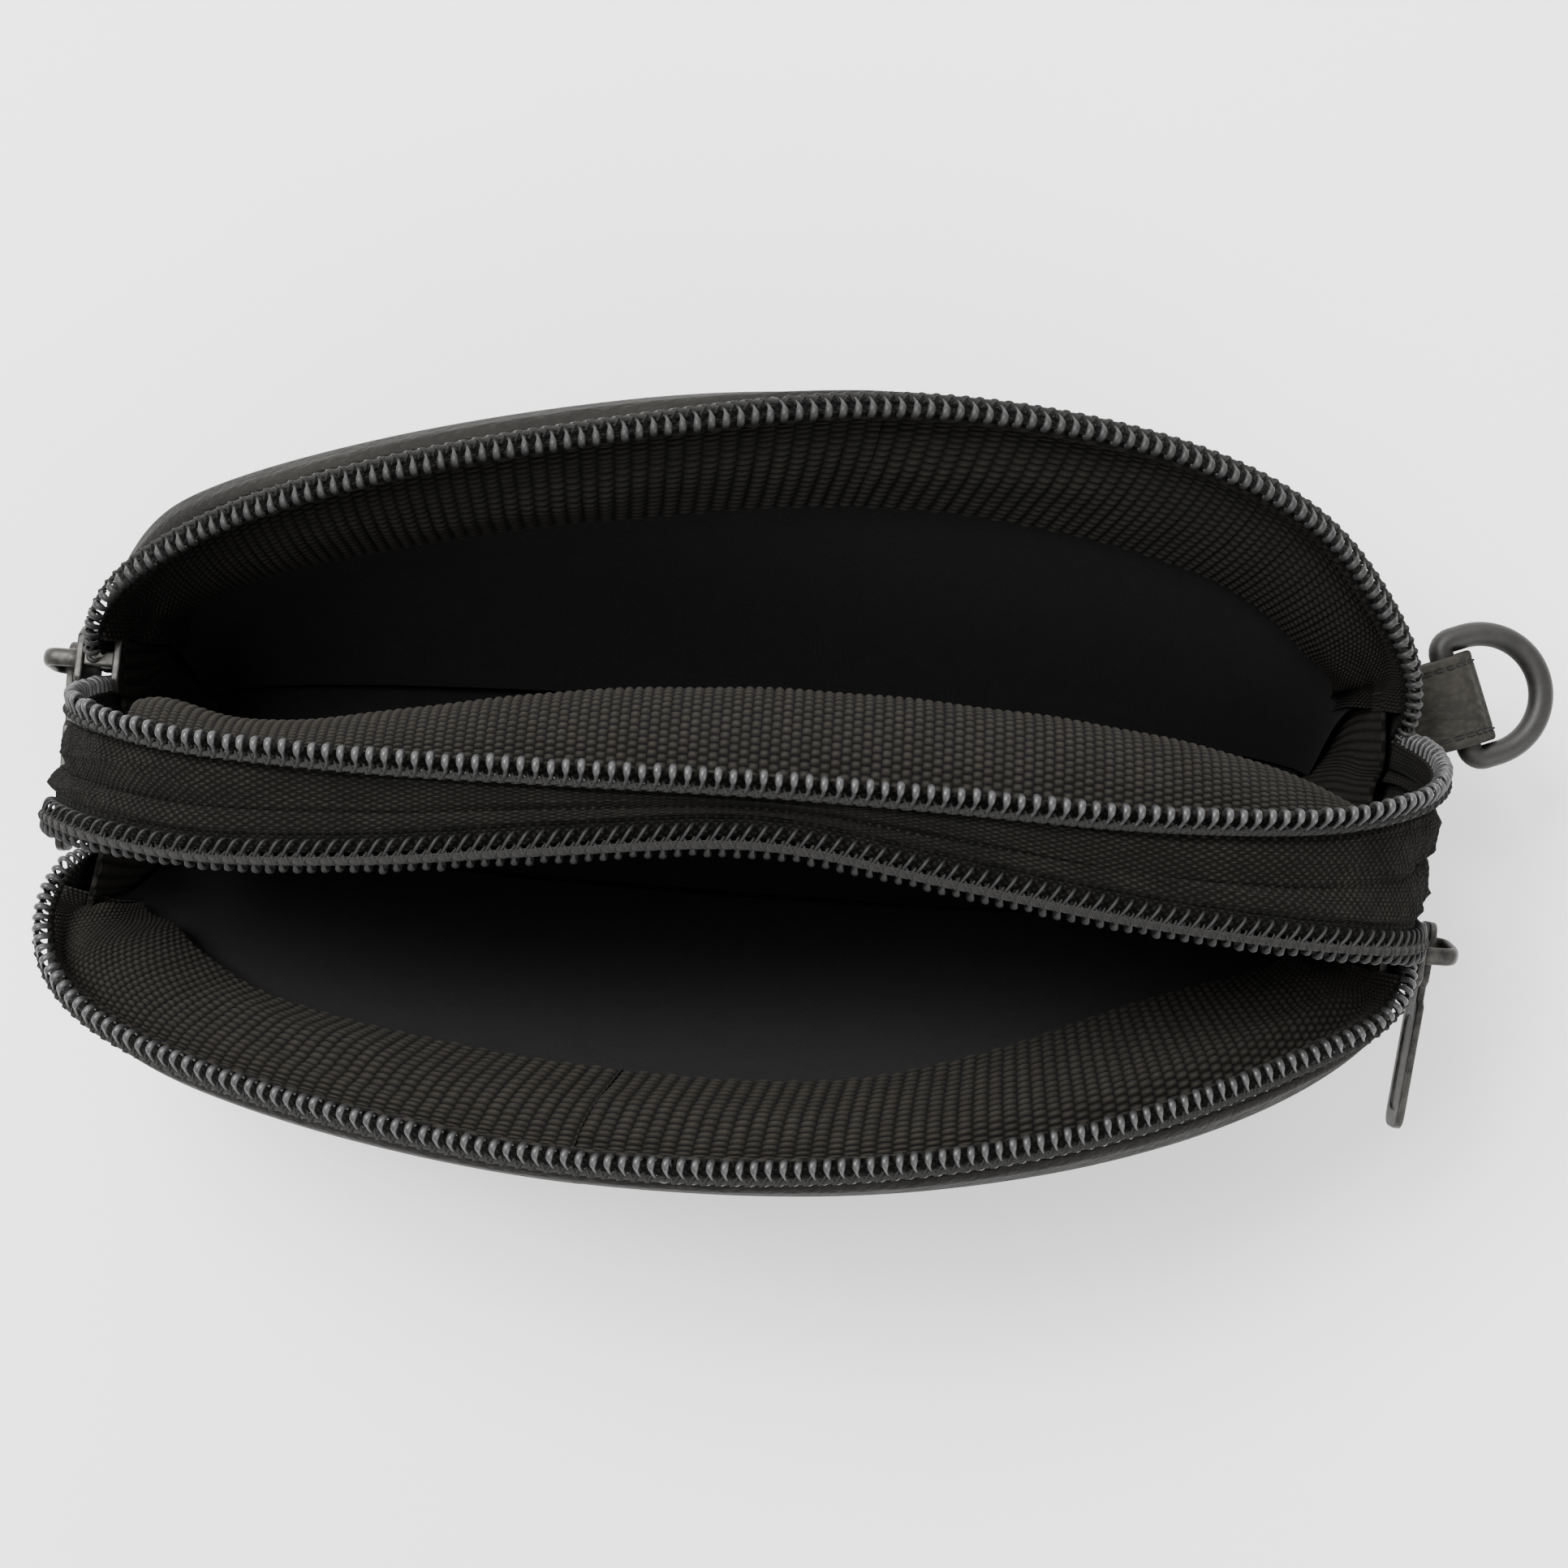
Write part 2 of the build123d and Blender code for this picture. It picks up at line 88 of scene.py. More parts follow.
BASE_HALF_LENGTH, BASE_HALF_WIDTH, WALL_FOOT, PANEL_BULGE = 89.0, 17.0, 3.0, 3.0
LEATHER, BOARD, LINING, WEBBING, TAPE, GAP = 1.5, 2.4, 0.7, 1.3, 0.7, 0.15
TAPE_FREE, TAPE_UNDER_COIL, COIL_SET = 3.4, 2.2, 1.8
RIM_CURL, ZIP_FOOT, REAR_TILT, FRONT_TILT = 62.0, 0.10, 52.0, -36.0
PITCH = 1.9                   # from one tooth of a zip to the next
WEAVE_COLUMN, WEAVE_ROW = 1.5, 0.66     # of the webbing's coarse weave
TWILL_BANDS = 0.3535          # scale of the zip tape's diagonal ribs
RING_TURN = 21.0              # degrees that the ring and its tab point towards the rear
SLIDERS = {1: ((-94.2, 13.0, 36.0), 8.0), -1: ((94.4, -14.3, 36.0), 10.0)}
SIDES = (("rear", 1), ("front", -1))


def along(points, u):
    """Smooth curve through points, at u from 0 to 1."""
    p = np.asarray(points, float)
    last = len(p) - 1
    p = np.vstack([2 * p[0] - p[1], p, 2 * p[-1] - p[-2]])
    s = np.clip(np.asarray(u, float), 0, 1) * last
    i = np.minimum(s.astype(int), last - 1)
    t = (s - i)[..., None]
    a, b, c, d = p[i], p[i + 1], p[i + 2], p[i + 3]
    return 0.5 * (2 * b + (c - a) * t + (2 * a - 5 * b + 4 * c - d) * t ** 2
                  + (3 * b - a - 3 * c + d) * t ** 3)


def smooth(t):
    t = np.clip(t, 0, 1)
    return t * t * (3 - 2 * t)


def unit(v):
    return v / np.maximum(np.linalg.norm(v, axis=-1, keepdims=True), 1e-9)


def vec(x, y, z):
    return np.stack(np.broadcast_arrays(x, y, z), -1).astype(float)


def panel(side, u, v):
    """Outside of a panel."""
    turn = np.radians(-80 + 160 * u)
    foot = vec(BASE_HALF_LENGTH * np.sin(turn) / math.sin(math.radians(80)),
               side * BASE_HALF_WIDTH * np.cos(turn) ** 0.2, WALL_FOOT)
    top = along(EDGES[side], u)
    v = np.asarray(v, float)[..., None]
    return foot + (top - foot) * v + v * (1 - v) * np.array([0, side * PANEL_BULGE * 4, 0])


def gusset(s, t):
    g = along(GUSSET, s)
    t = np.asarray(t, float)
    return vec(g[..., 0] + (g[..., 1] - g[..., 0]) * t, g[..., 3] + (g[..., 4] - g[..., 3]) * t,
               g[..., 2])


def normal(surface, u, v):
    e = 0.01
    du = surface(np.minimum(u + e, 1), v) - surface(np.maximum(u - e, 0), v)
    dv = surface(u, np.minimum(v + e, 1)) - surface(u, np.maximum(v - e, 0))
    return unit(np.cross(dv, du))


def towards(n, way):
    """Normals n, each turned to the side that way points to."""
    return n * np.sign(np.sum(n * way, -1, keepdims=True))


def panel_normal(side, u, v):
    return normal(lambda a, b: panel(side, a, b), u, v) * side


def gusset_away(s):
    return normal(gusset, s, np.full_like(s, 0.5)) * -1


def gusset_height(x):
    """Height of the gusset over the partition at x."""
    rise = GUSSET_CROWN - GUSSET_SHOULDER
    return GUSSET_SHOULDER + rise * (1 - np.abs(x / GUSSET_REACH) ** 3) ** (1 / 3)


def arc_length(points):
    step = np.linalg.norm(np.diff(points, axis=0), axis=-1)
    return np.concatenate([[0], np.cumsum(step)])


# ---- mesh making --------------------------------------------------------------------------

def linked(name, data):
    obj = bpy.data.objects.new(name, data)
    bpy.context.scene.collection.objects.link(obj)
    return obj


def finish_mesh(name, verts, faces, uvs=None):
    mesh = bpy.data.meshes.new(name)
    faces = faces if isinstance(faces, list) else faces.tolist()
    mesh.from_pydata((np.asarray(verts) * MM).tolist(), [], faces)
    mesh.polygons.foreach_set("use_smooth", [True] * len(mesh.polygons))
    if uvs is not None:
        layer = mesh.uv_layers.new(name="mm")
        index = np.empty(len(mesh.loops), int)
        mesh.loops.foreach_get("vertex_index", index)
        layer.data.foreach_set("uv", np.asarray(uvs, np.float32)[index].ravel())
    mesh.validate()
    mesh.update()
    return linked(name, mesh)


def quads(index):
    """Faces of a grid of vertex numbers."""
    a, b, c, d = index[:-1, :-1], index[:-1, 1:], index[1:, 1:], index[1:, :-1]
    return np.stack([a, b, c, d], -1).reshape(-1, 4)


def tube_grid(points, first, second, sides):
    """Rings of vertices round points; first and second are the section's two half axes."""
    turn = np.linspace(0, 2 * np.pi, sides, endpoint=False)
    return (points[:, None] + first[:, None] * np.cos(turn)[None, :, None]
            + second[:, None] * np.sin(turn)[None, :, None])


def tube_faces(rings, sides, start=0):
    index = start + np.arange(rings * sides).reshape(rings, sides)
    return quads(np.hstack([index, index[:, :1]]))


def section_axes(points, across, first, second):
    """Half axes of a tube's section, the first one as near to across as it can be."""
    way = unit(np.gradient(points, axis=0))
    a = unit(across - way * np.sum(across * way, -1, keepdims=True))
    b = np.cross(way, a)
    return a * np.asarray(first)[..., None], b * np.asarray(second)[..., None]


def tube(name, points, across, first, second, sides=8):
    """Closed tube with round ends along a path."""
    points = np.asarray(points, float)
    count = len(points)
    first = np.broadcast_to(first, count).astype(float)
    second = np.broadcast_to(second, count).astype(float)
    a, b = section_axes(points, np.broadcast_to(across, points.shape), first, second)
    grid = tube_grid(points, a, b, sides)
    way = unit(np.gradient(points, axis=0))
    lead = [points[0] - way[0] * min(first[0], second[0]) * 0.6]
    tail = [points[-1] + way[-1] * min(first[-1], second[-1]) * 0.6]
    verts = np.vstack([grid.reshape(-1, 3), lead, tail])
    faces = [list(f) for f in tube_faces(count, sides)]
    n = count * sides
    for k in range(sides):
        j = (k + 1) % sides
        faces.append([n, j, k])
        faces.append([n + 1, (count - 1) * sides + k, (count - 1) * sides + j])
    length = arc_length(points)
    uv = np.stack([np.repeat(length, sides), np.tile(np.arange(sides) * 0.4, count)], -1)
    uv = np.vstack([uv, [[length[0], 0], [length[-1], 0]]])
    return finish_mesh(name, verts, faces, uv)


ROUNDING = np.radians([0, 20, 40, 60, 80])     # steps round a soft edge
ROUND_STEPS = len(ROUNDING) - 1


def stations(count, length, radius):
    """Values from 0 to 1 with extra ones near both ends, to round an edge of that radius."""
    round_off = radius * (1 - np.cos(ROUNDING)) / length
    inner = np.linspace(round_off[-1] * 1.4, 1 - round_off[-1] * 1.4, count)
    return np.concatenate([round_off, inner, 1 - round_off[::-1]])


def skin(name, surface, away, length, height, count_u, count_v, low, high,
         puff=None, span=(0, 1, 0, 1), open_ends=(), flow=False):
    """Skin of cloth or leather between two offsets, with rounded edges, over part of a surface.

    surface and away take grids of u and v; puff gives extra outer height from millimetre
    positions along and across the piece; flow makes the grain follow the puffed shape.
    """
    half = (high - low) / 2
    us, vs = stations(count_u, length, half), stations(count_v, height, half)
    if "u0" in open_ends:
        us = us[ROUND_STEPS:]
        us[0] = 0
    if "u1" in open_ends:
        us = us[:-ROUND_STEPS]
        us[-1] = 1
    u, v = np.meshgrid(us, vs)
    du = np.minimum(np.where("u0" in open_ends, 1e3, u * length),
                    np.where("u1" in open_ends, 1e3, (1 - u) * length))
    dv = np.minimum(v, 1 - v) * height
    d = np.clip(np.minimum(du, dv) / max(half, 1e-6), 0, 1)
    full = np.sqrt(1 - (1 - d) ** 2)
    gu, gv = span[0] + (span[1] - span[0]) * u, span[2] + (span[3] - span[2]) * v
    base, n = surface(gu, gv), away(gu, gv)
    middle = (low + high) / 2
    extra = puff(u * length, v * height) * full if puff is not None else 0
    outer = base + n * (middle + half * full + extra)[..., None]
    inner = base + n * (middle - half * full)[..., None]
    rows, cols = u.shape
    index = np.arange(rows * cols).reshape(rows, cols)
    border = np.zeros((rows, cols), bool)
    border[0], border[-1] = True, True
    if "u0" not in open_ends:
        border[:, 0] = True
    if "u1" not in open_ends:
        border[:, -1] = True
    low_index = index.copy()
    low_index[~border] = rows * cols + np.arange((~border).sum())
    verts = np.vstack([outer.reshape(-1, 3), inner[~border]])
    uv = np.stack([u * length, v * height], -1)
    if flow:
        uv[1:, :, 1] = np.cumsum(np.linalg.norm(np.diff(outer, axis=0), axis=-1), 0)
        uv[..., 0] += span[0] / max(span[1] - span[0], 1e-6) * length
    uvs = np.vstack([uv.reshape(-1, 2), uv[~border]])
    faces = np.vstack([quads(index), quads(low_index)[:, ::-1]])
    obj = finish_mesh(name, verts, faces, uvs)
    bm = bmesh.new()
    bm.from_mesh(obj.data)
    bmesh.ops.recalc_face_normals(bm, faces=bm.faces)
    bm.to_mesh(obj.data)
    bm.free()
    return obj


def flat_shape(name, outlines, thick, bevel, plane):
    """Solid from flat outlines, in millimetres, with rounded edges; the plane is a matrix."""
    curve = bpy.data.curves.new(name, "CURVE")
    curve.dimensions = "2D"
    curve.fill_mode = "BOTH"
    curve.extrude = (thick / 2 - bevel) * MM
    curve.bevel_depth = bevel * MM
    curve.bevel_resolution = 3
    curve.offset = -bevel * MM
    for outline in outlines:
        spline = curve.splines.new("POLY")
        spline.points.add(len(outline) - 1)
        for point, (x, y) in zip(spline.points, outline):
            point.co = (x * MM, y * MM, 0, 1)
        spline.use_cyclic_u = True
    holder = linked(name + "_curve", curve)
    bpy.context.view_layer.update()
    depsgraph = bpy.context.evaluated_depsgraph_get()
    mesh = bpy.data.meshes.new_from_object(holder.evaluated_get(depsgraph))
    bpy.data.objects.remove(holder)
    mesh.name = name
    mesh.transform(plane)
    bm = bmesh.new()
    bm.from_mesh(mesh)
    bmesh.ops.remove_doubles(bm, verts=bm.verts, dist=1e-6)
    bmesh.ops.recalc_face_normals(bm, faces=bm.faces)
    bm.to_mesh(mesh)
    bm.free()
    for polygon in mesh.polygons:
        polygon.use_smooth = True
    mesh.set_sharp_from_angle(angle=math.radians(40))
    return linked(name, mesh)


def join(name, pieces):
    """One object from several."""
    bm = bmesh.new()
    for piece in pieces:
        bm.from_mesh(piece.data)
    mesh = bpy.data.meshes.new(name)
    bm.to_mesh(mesh)
    bm.free()
    for piece in pieces:
        bpy.data.objects.remove(piece)
    return linked(name, mesh)


# ---- materials ----------------------------------------------------------------------------

class Nodes:
    """Short way to write a material's nodes."""

    def __init__(self, name, space="UV"):
        self.material = bpy.data.materials.new(name)
        self.material.use_nodes = True
        self.tree = self.material.node_tree
        self.shader = self.tree.nodes["Principled BSDF"]
        self.where = self.tree.nodes.new("ShaderNodeTexCoord").outputs[space]
        if space != "UV":
            self.where = self.mapped(scale=(1000, 1000, 1000))

    def add(self, kind, inputs=(), **settings):
        node = self.tree.nodes.new(kind)
        for key, value in settings.items():
            setattr(node, key, value)
        for key, value in dict(inputs).items():
            self.put(node.inputs[key], value)
        return node

    def put(self, socket, value):
        if isinstance(value, bpy.types.NodeSocket):
            self.tree.links.new(value, socket)
        else:
            socket.default_value = value

    def mapped(self, scale=(1, 1, 1), turn=0.0):
        return self.add("ShaderNodeMapping", {"Vector": self.where, "Scale": scale,
                                              "Rotation": (0, 0, turn)}).outputs[0]

    def noise(self, scale, detail=3.0, rough=0.5):
        inputs = {"Vector": self.where, "Scale": scale, "Detail": detail, "Roughness": rough}
        return self.add("ShaderNodeTexNoise", inputs).outputs["Fac"]

    def voronoi(self, scale, feature="F1"):
        inputs = {"Vector": self.where, "Scale": scale}
        return self.add("ShaderNodeTexVoronoi", inputs, feature=feature).outputs["Distance"]

    def wave(self, scale, turn=0.0, distort=0.0):
        inputs = {"Vector": self.mapped(turn=turn), "Scale": scale, "Distortion": distort,
                  "Detail": 1.0, "Detail Scale": 1.5}
        return self.add("ShaderNodeTexWave", inputs, bands_direction="X").outputs["Fac"]

    def math(self, operation, a, b=0.0):
        node = self.add("ShaderNodeMath", operation=operation)
        self.put(node.inputs[0], a)
        self.put(node.inputs[1], b)
        return node.outputs[0]

    def times(self, a, b):
        return self.math("MULTIPLY", a, b)

    def plus(self, a, b):
        return self.math("ADD", a, b)

    def ramp(self, value, stops):
        node = self.add("ShaderNodeValToRGB", {"Fac": value})
        ramp = node.color_ramp
        while len(ramp.elements) < len(stops):
            ramp.elements.new(0.5)
        for element, (place, colour) in zip(ramp.elements, stops):
            element.position = place
            element.color = (*colour, 1)
        return node.outputs["Color"]

    def scaled(self, value, low, high):
        inputs = {"Value": value, "To Min": low, "To Max": high}
        return self.add("ShaderNodeMapRange", inputs).outputs[0]

    def bump(self, height, depth, strength=1.0):
        inputs = {"Height": height, "Distance": depth * MM, "Strength": strength}
        return self.add("ShaderNodeBump", inputs).outputs[0]

    def done(self, colour, rough, bump=None, **uniform):
        self.put(self.shader.inputs["Base Color"], colour)
        self.put(self.shader.inputs["Roughness"], rough)
        if bump is not None:
            self.put(self.shader.inputs["Normal"], bump)
        for key, value in uniform.items():
            self.shader.inputs[key.replace("_", " ")].default_value = value
        return self.material


def tinted(shade, *stops):
    """Colour stops with every colour multiplied by shade."""
    return [(place, tuple(shade * c for c in colour)) for place, colour in stops]


def leather_material(name, space="UV", shade=1.0):
    m = Nodes(name, space)
    pebble = m.voronoi(1.35, "SMOOTH_F1")
    fine = m.voronoi(3.4, "F1")
    wrinkle = m.noise(0.35, 4, 0.6)
    broad = m.noise(0.06, 2, 0.5)
    height = m.plus(m.times(pebble, -0.9), m.times(fine, -0.25))
    height = m.plus(height, m.times(wrinkle, 0.8))
    bump = m.bump(height, 0.28, 0.9)
    tone = m.plus(m.times(pebble, -0.5), m.times(broad, 1.0))
    colour = m.ramp(tone, tinted(shade, (0.05, (0.0035, 0.0033, 0.0027)),
                                 (0.6, (0.0100, 0.0092, 0.0072)),
                                 (1.0, (0.0180, 0.0164, 0.0126))))
    rough = m.scaled(wrinkle, 0.58, 0.80)
    return m.done(colour, rough, bump, Specular_IOR_Level=0.16)


def twill_material(name, shade=1.0):
    m = Nodes(name)
    one = m.wave(TWILL_BANDS, math.radians(45), 0.5)
    two = m.wave(TWILL_BANDS, math.radians(-45), 0.5)
    cross = m.wave(TWILL_BANDS * 1.9, math.radians(90), 0.4)
    fuzz = m.noise(5.5, 3, 0.7)
    slub = m.noise(0.12, 4, 0.65)
    ribs = m.plus(one, m.times(cross, 0.5))
    weave = m.times(ribs, m.plus(two, 0.35))
    height = m.plus(weave, m.times(fuzz, 0.9))
    bump = m.bump(height, 0.34, 0.95)
    mixed = m.times(m.plus(m.times(fuzz, 0.5), slub), 0.7)
    tone = m.times(m.plus(m.times(weave, 0.6), 0.25), mixed)
    colour = m.ramp(tone, tinted(shade, (0.05, (0.0006, 0.0006, 0.0006)),
                                 (0.32, (0.0036, 0.0033, 0.0027)),
                                 (0.8, (0.0230, 0.0210, 0.0170))))
    return m.done(colour, 0.92, bump, Specular_IOR_Level=0.05, Sheen_Weight=0.015,
                  Sheen_Roughness=0.5)


def webbing_material(name, shade=1.0):
    m = Nodes(name)
    axes = m.add("ShaderNodeSeparateXYZ", {"Vector": m.where})
    a = m.math("DIVIDE", axes.outputs["X"], WEAVE_COLUMN)
    b = m.math("DIVIDE", axes.outputs["Y"], WEAVE_ROW)
    which = m.times(m.math("FLOOR", a), 0.5)
    across = m.math("ABSOLUTE", m.math("SINE", m.times(a, math.pi)))
    turn = m.times(m.plus(b, which), math.pi)
    lump = m.math("ABSOLUTE", m.math("COSINE", turn))
    crown = m.times(m.math("POWER", across, 0.4), m.math("POWER", lump, 0.6))
    strand = m.wave(2.6, 0.1, 1.0)
    fuzz = m.noise(4.5, 3, 0.7)
    slub = m.noise(0.35, 3, 0.6)
    height = m.plus(m.times(strand, 0.3), m.times(fuzz, 0.8))
    bump = m.bump(m.plus(height, m.times(crown, 1.2)), 0.12, 0.8)
    mixed = m.times(m.plus(fuzz, slub), 0.5)
    tone = m.times(crown, m.plus(m.times(mixed, 0.9), 0.4))
    colour = m.ramp(tone, tinted(shade, (0.12, (0.0008, 0.0008, 0.0008)),
                                 (0.5, (0.0080, 0.0073, 0.0060)),
                                 (1.0, (0.0265, 0.0238, 0.0196))))
    return m.done(colour, 0.84, bump, Specular_IOR_Level=0.10, Sheen_Weight=0.025 * shade,
                  Sheen_Roughness=0.45)


def felt_material(name):
    m = Nodes(name)
    fibre = m.noise(2.6, 5, 0.75)
    blot = m.noise(0.25, 3, 0.6)
    bump = m.bump(m.plus(fibre, m.times(blot, 0.6)), 0.3, 0.8)
    colour = m.ramp(m.plus(m.times(fibre, 0.6), m.times(blot, 0.4)),
                    [(0.2, (0.0016, 0.0016, 0.0017)), (0.8, (0.0056, 0.0056, 0.0056))])
    return m.done(colour, 0.96, bump, Specular_IOR_Level=0.05, Sheen_Weight=0.03,
                  Sheen_Roughness=0.6)


def coil_material(name, dark, light, rough, shine):
    m = Nodes(name)
    scuff = m.noise(1.1, 4, 0.6)
    fine = m.noise(7.0, 3, 0.6)
    colour = m.ramp(scuff, [(0.25, dark), (0.75, light)])
    bump = m.bump(m.plus(m.times(fine, 0.4), scuff), 0.05, 0.6)
    return m.done(colour, m.scaled(scuff, *rough), bump, Specular_IOR_Level=shine)


def thread_material(name):
    m = Nodes(name)
    twist = m.wave(1.3, math.radians(35), 0.4)
    fuzz = m.noise(6.0, 3, 0.7)
    bump = m.bump(m.plus(twist, fuzz), 0.12, 0.9)
    colour = m.ramp(m.times(m.plus(twist, fuzz), 0.5),
                    [(0.2, (0.0035, 0.0034, 0.0032)), (0.8, (0.024, 0.023, 0.0215))])
    return m.done(colour, 0.85, bump, Specular_IOR_Level=0.15, Sheen_Weight=0.06)


def metal_material(name):
    m = Nodes(name, "Object")
    wear = m.noise(0.55, 5, 0.65)
    pits = m.noise(3.2, 3, 0.6)
    colour = m.ramp(wear, [(0.35, (0.014, 0.014, 0.014)), (0.8, (0.070, 0.066, 0.058))])
    bump = m.bump(m.plus(pits, m.times(wear, 0.5)), 0.04, 0.5)
    return m.done(colour, m.scaled(pits, 0.36, 0.54), bump, Metallic=0.75, Specular_IOR_Level=0.5)


def paint_material(name):
    m = Nodes(name, "Object")
    peel = m.noise(1.6, 4, 0.6)
    scuff = m.noise(0.35, 5, 0.7)
    colour = m.ramp(scuff, [(0.35, (0.0040, 0.0038, 0.0033)), (0.75, (0.0120, 0.0111, 0.0094))])
    bump = m.bump(peel, 0.06, 0.6)
    return m.done(colour, m.scaled(scuff, 0.42, 0.62), bump, Specular_IOR_Level=0.35)


def board_material(name):
    m = Nodes(name, "Object")
    cells = m.voronoi(1.6)
    colour = m.ramp(cells, [(0.1, (0.012, 0.012, 0.012)), (0.8, (0.030, 0.030, 0.030))])
    return m.done(colour, 0.8, m.bump(cells, 0.15, 0.6), Specular_IOR_Level=0.3)


LEATHER_UV = leather_material("black_pebbled_leather")
LEATHER_OBJ = leather_material("black_pebbled_leather_flat", "Object")
LEATHER_TAB = leather_material("brown_black_leather", shade=2.9)
TWILL = twill_material("zip_tape_weave")
# Copy of the tape weave at half brightness: painted shade on the rear rim tape, which faces away
# from the light.
TWILL_SHADED = twill_material("zip_tape_weave_painted_shade", shade=0.5)
# Copy of the tape weave, 1.2 times lighter: painted light on the gusset's top.
TWILL_GUSSET_LIT = twill_material("gusset_weave_painted_light", shade=1.2)
BASKET = webbing_material("basket_weave_webbing")
# Copy of the webbing at half brightness and with half the sheen: painted shade on the rear facing
# and the end facings.
BASKET_SHADED = webbing_material("basket_weave_webbing_painted_shade", shade=0.5)
FELT = felt_material("black_felt")
COIL = coil_material("nylon_coil", (0.016, 0.0165, 0.0165), (0.040, 0.040, 0.040),
                     (0.30, 0.48), 0.45)
# Rougher, duller coil with colours about half as bright: the rougher finish is real, the darker
# colour is painted shade on the rear rim's teeth, which face away from the light.
COIL_DULL_SHADED = coil_material("nylon_coil_dull_painted_shade", (0.008, 0.008, 0.008), (0.022, 0.022, 0.0212),
                          (0.42, 0.62), 0.3)
# Coil with colours well under half as bright: painted shade on the front middle teeth.
COIL_DEEP_SHADED = coil_material("nylon_coil_deep_painted_shade", (0.006, 0.006, 0.006), (0.0155, 0.0155, 0.0150),
                          (0.46, 0.66), 0.24)
THREAD = thread_material("sewing_thread")
ZINC = metal_material("dark_zinc")
RING = paint_material("black_painted_wire")
FOAM = board_material("foam_board")


def dress(obj, material):
    obj.data.materials.clear()
    obj.data.materials.append(material)


def put_on(obj, material, body, node=None):
    """Dresses a piece, hides the CAD node it stands for, and puts it on a body."""
    dress(obj, material)
    if node:
        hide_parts(node)
    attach(obj, body)


def bend_ends(obj):
    """Bakes a piece's placement into its mesh."""
    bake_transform(obj)


# ---- leather, linings and webbing of the panels --------------------------------------------

def weave_height(depth):
    """Raised lumps of a coarse plain weave, with neighbouring columns half a step apart."""
    def height(a, b):
        which = np.floor(a / WEAVE_COLUMN)
        across = np.abs(np.sin(np.pi * a / WEAVE_COLUMN)) ** 0.5
        lump = np.abs(np.cos(np.pi * (b / WEAVE_ROW + 0.5 * which))) ** 0.8
        slow = 0.12 * np.sin(a * 0.31 + b * 0.2) + 0.1 * np.sin(a * 0.13)
        return depth * across * (0.08 + 0.92 * lump) * (1 + slow)
    return height


def through(knots, v):
    """Point at v, from 0 to 1, on smooth curves through a row of point grids."""
    last = len(knots) - 1
    pos = v * last
    i = np.clip(pos.astype(int), 0, last - 1)
    f = (pos - i)[..., None]
    ext = np.concatenate([2 * knots[:1] - knots[1:2], knots, 2 * knots[-1:] - knots[-2:-1]])
    p0, p1, p2, p3 = (np.take_along_axis(ext, (i + k)[None, ..., None], 0)[0] for k in range(4))
    return 0.5 * (2 * p1 + (p2 - p0) * f + (2 * p0 - 5 * p1 + 4 * p2 - p3) * f ** 2
                  + (3 * p1 - p0 - 3 * p2 + p3) * f ** 3)


def rim_lines(side, u):
    """At a panel's edge: its point, the way out, the tape's way, its face and its curl's end."""
    top = panel(side, u, 1.0 + 0 * u)
    out = panel_normal(side, u, 1.0 + 0 * u)
    up = unit(top - panel(side, u, 0.97 + 0 * u))
    turn = (np.radians(RIM_CURL) * (0.05 + 0.95 * smooth(np.minimum(u, 1 - u) / 0.2)))[..., None]
    radius = TAPE_FREE / turn
    way = up * np.cos(turn) - out * np.sin(turn)
    face = out * np.cos(turn) + up * np.sin(turn)
    curled = top + up * radius * np.sin(turn) - out * radius * (1 - np.cos(turn))
    return top, out, way, face, curled


def facing_surface(side, deep):
    """Woven facing: from inside the panel up to the tape, close under the coil."""
    def surface(u, v):
        top, out, way, face, curled = rim_lines(side, u)
        sag = 0.5 * np.sin(u * 37) + 0.4 * np.sin(u * 83 + 1)
        far = smooth((0.13 - np.minimum(u, 1 - u)) / 0.13)
        full = 0 * u
        if side < 0:
            full = (smooth((u - 0.58) / 0.2) * smooth((1 - u) / 0.1)
                    + 0.5 * smooth((u - 0.08) / 0.1) * smooth((0.34 - u) / 0.16))
        thick = (deep + WEBBING - 1.6 * far + 2.2 * full)[..., None]
        knots = np.stack([
            panel(side, u, 0.745 + 0.006 * sag - 0.25 * far - 0.18 * full) - out * (thick + 0.3),
            (panel(side, u, 0.82 - 0.12 * far - 0.10 * full)
             - out * (thick + 0.5 + 0.25 * sag[..., None])),
            panel(side, u, 0.90 - 0.03 * full) - out * (thick + 0.1),
            panel(side, u, 0.965 + 0 * u) - out * (thick - 1.3),
            top * 0.35 + curled * 0.65 - face * 1.9 - out * 0.6,
            curled + way * 2.6 - face * 1.0,
        ])
        return through(knots, v)

    def away(u, v):
        return -towards(normal(surface, u, v), panel_normal(side, u, 0.9 + 0 * v))

    return surface, away


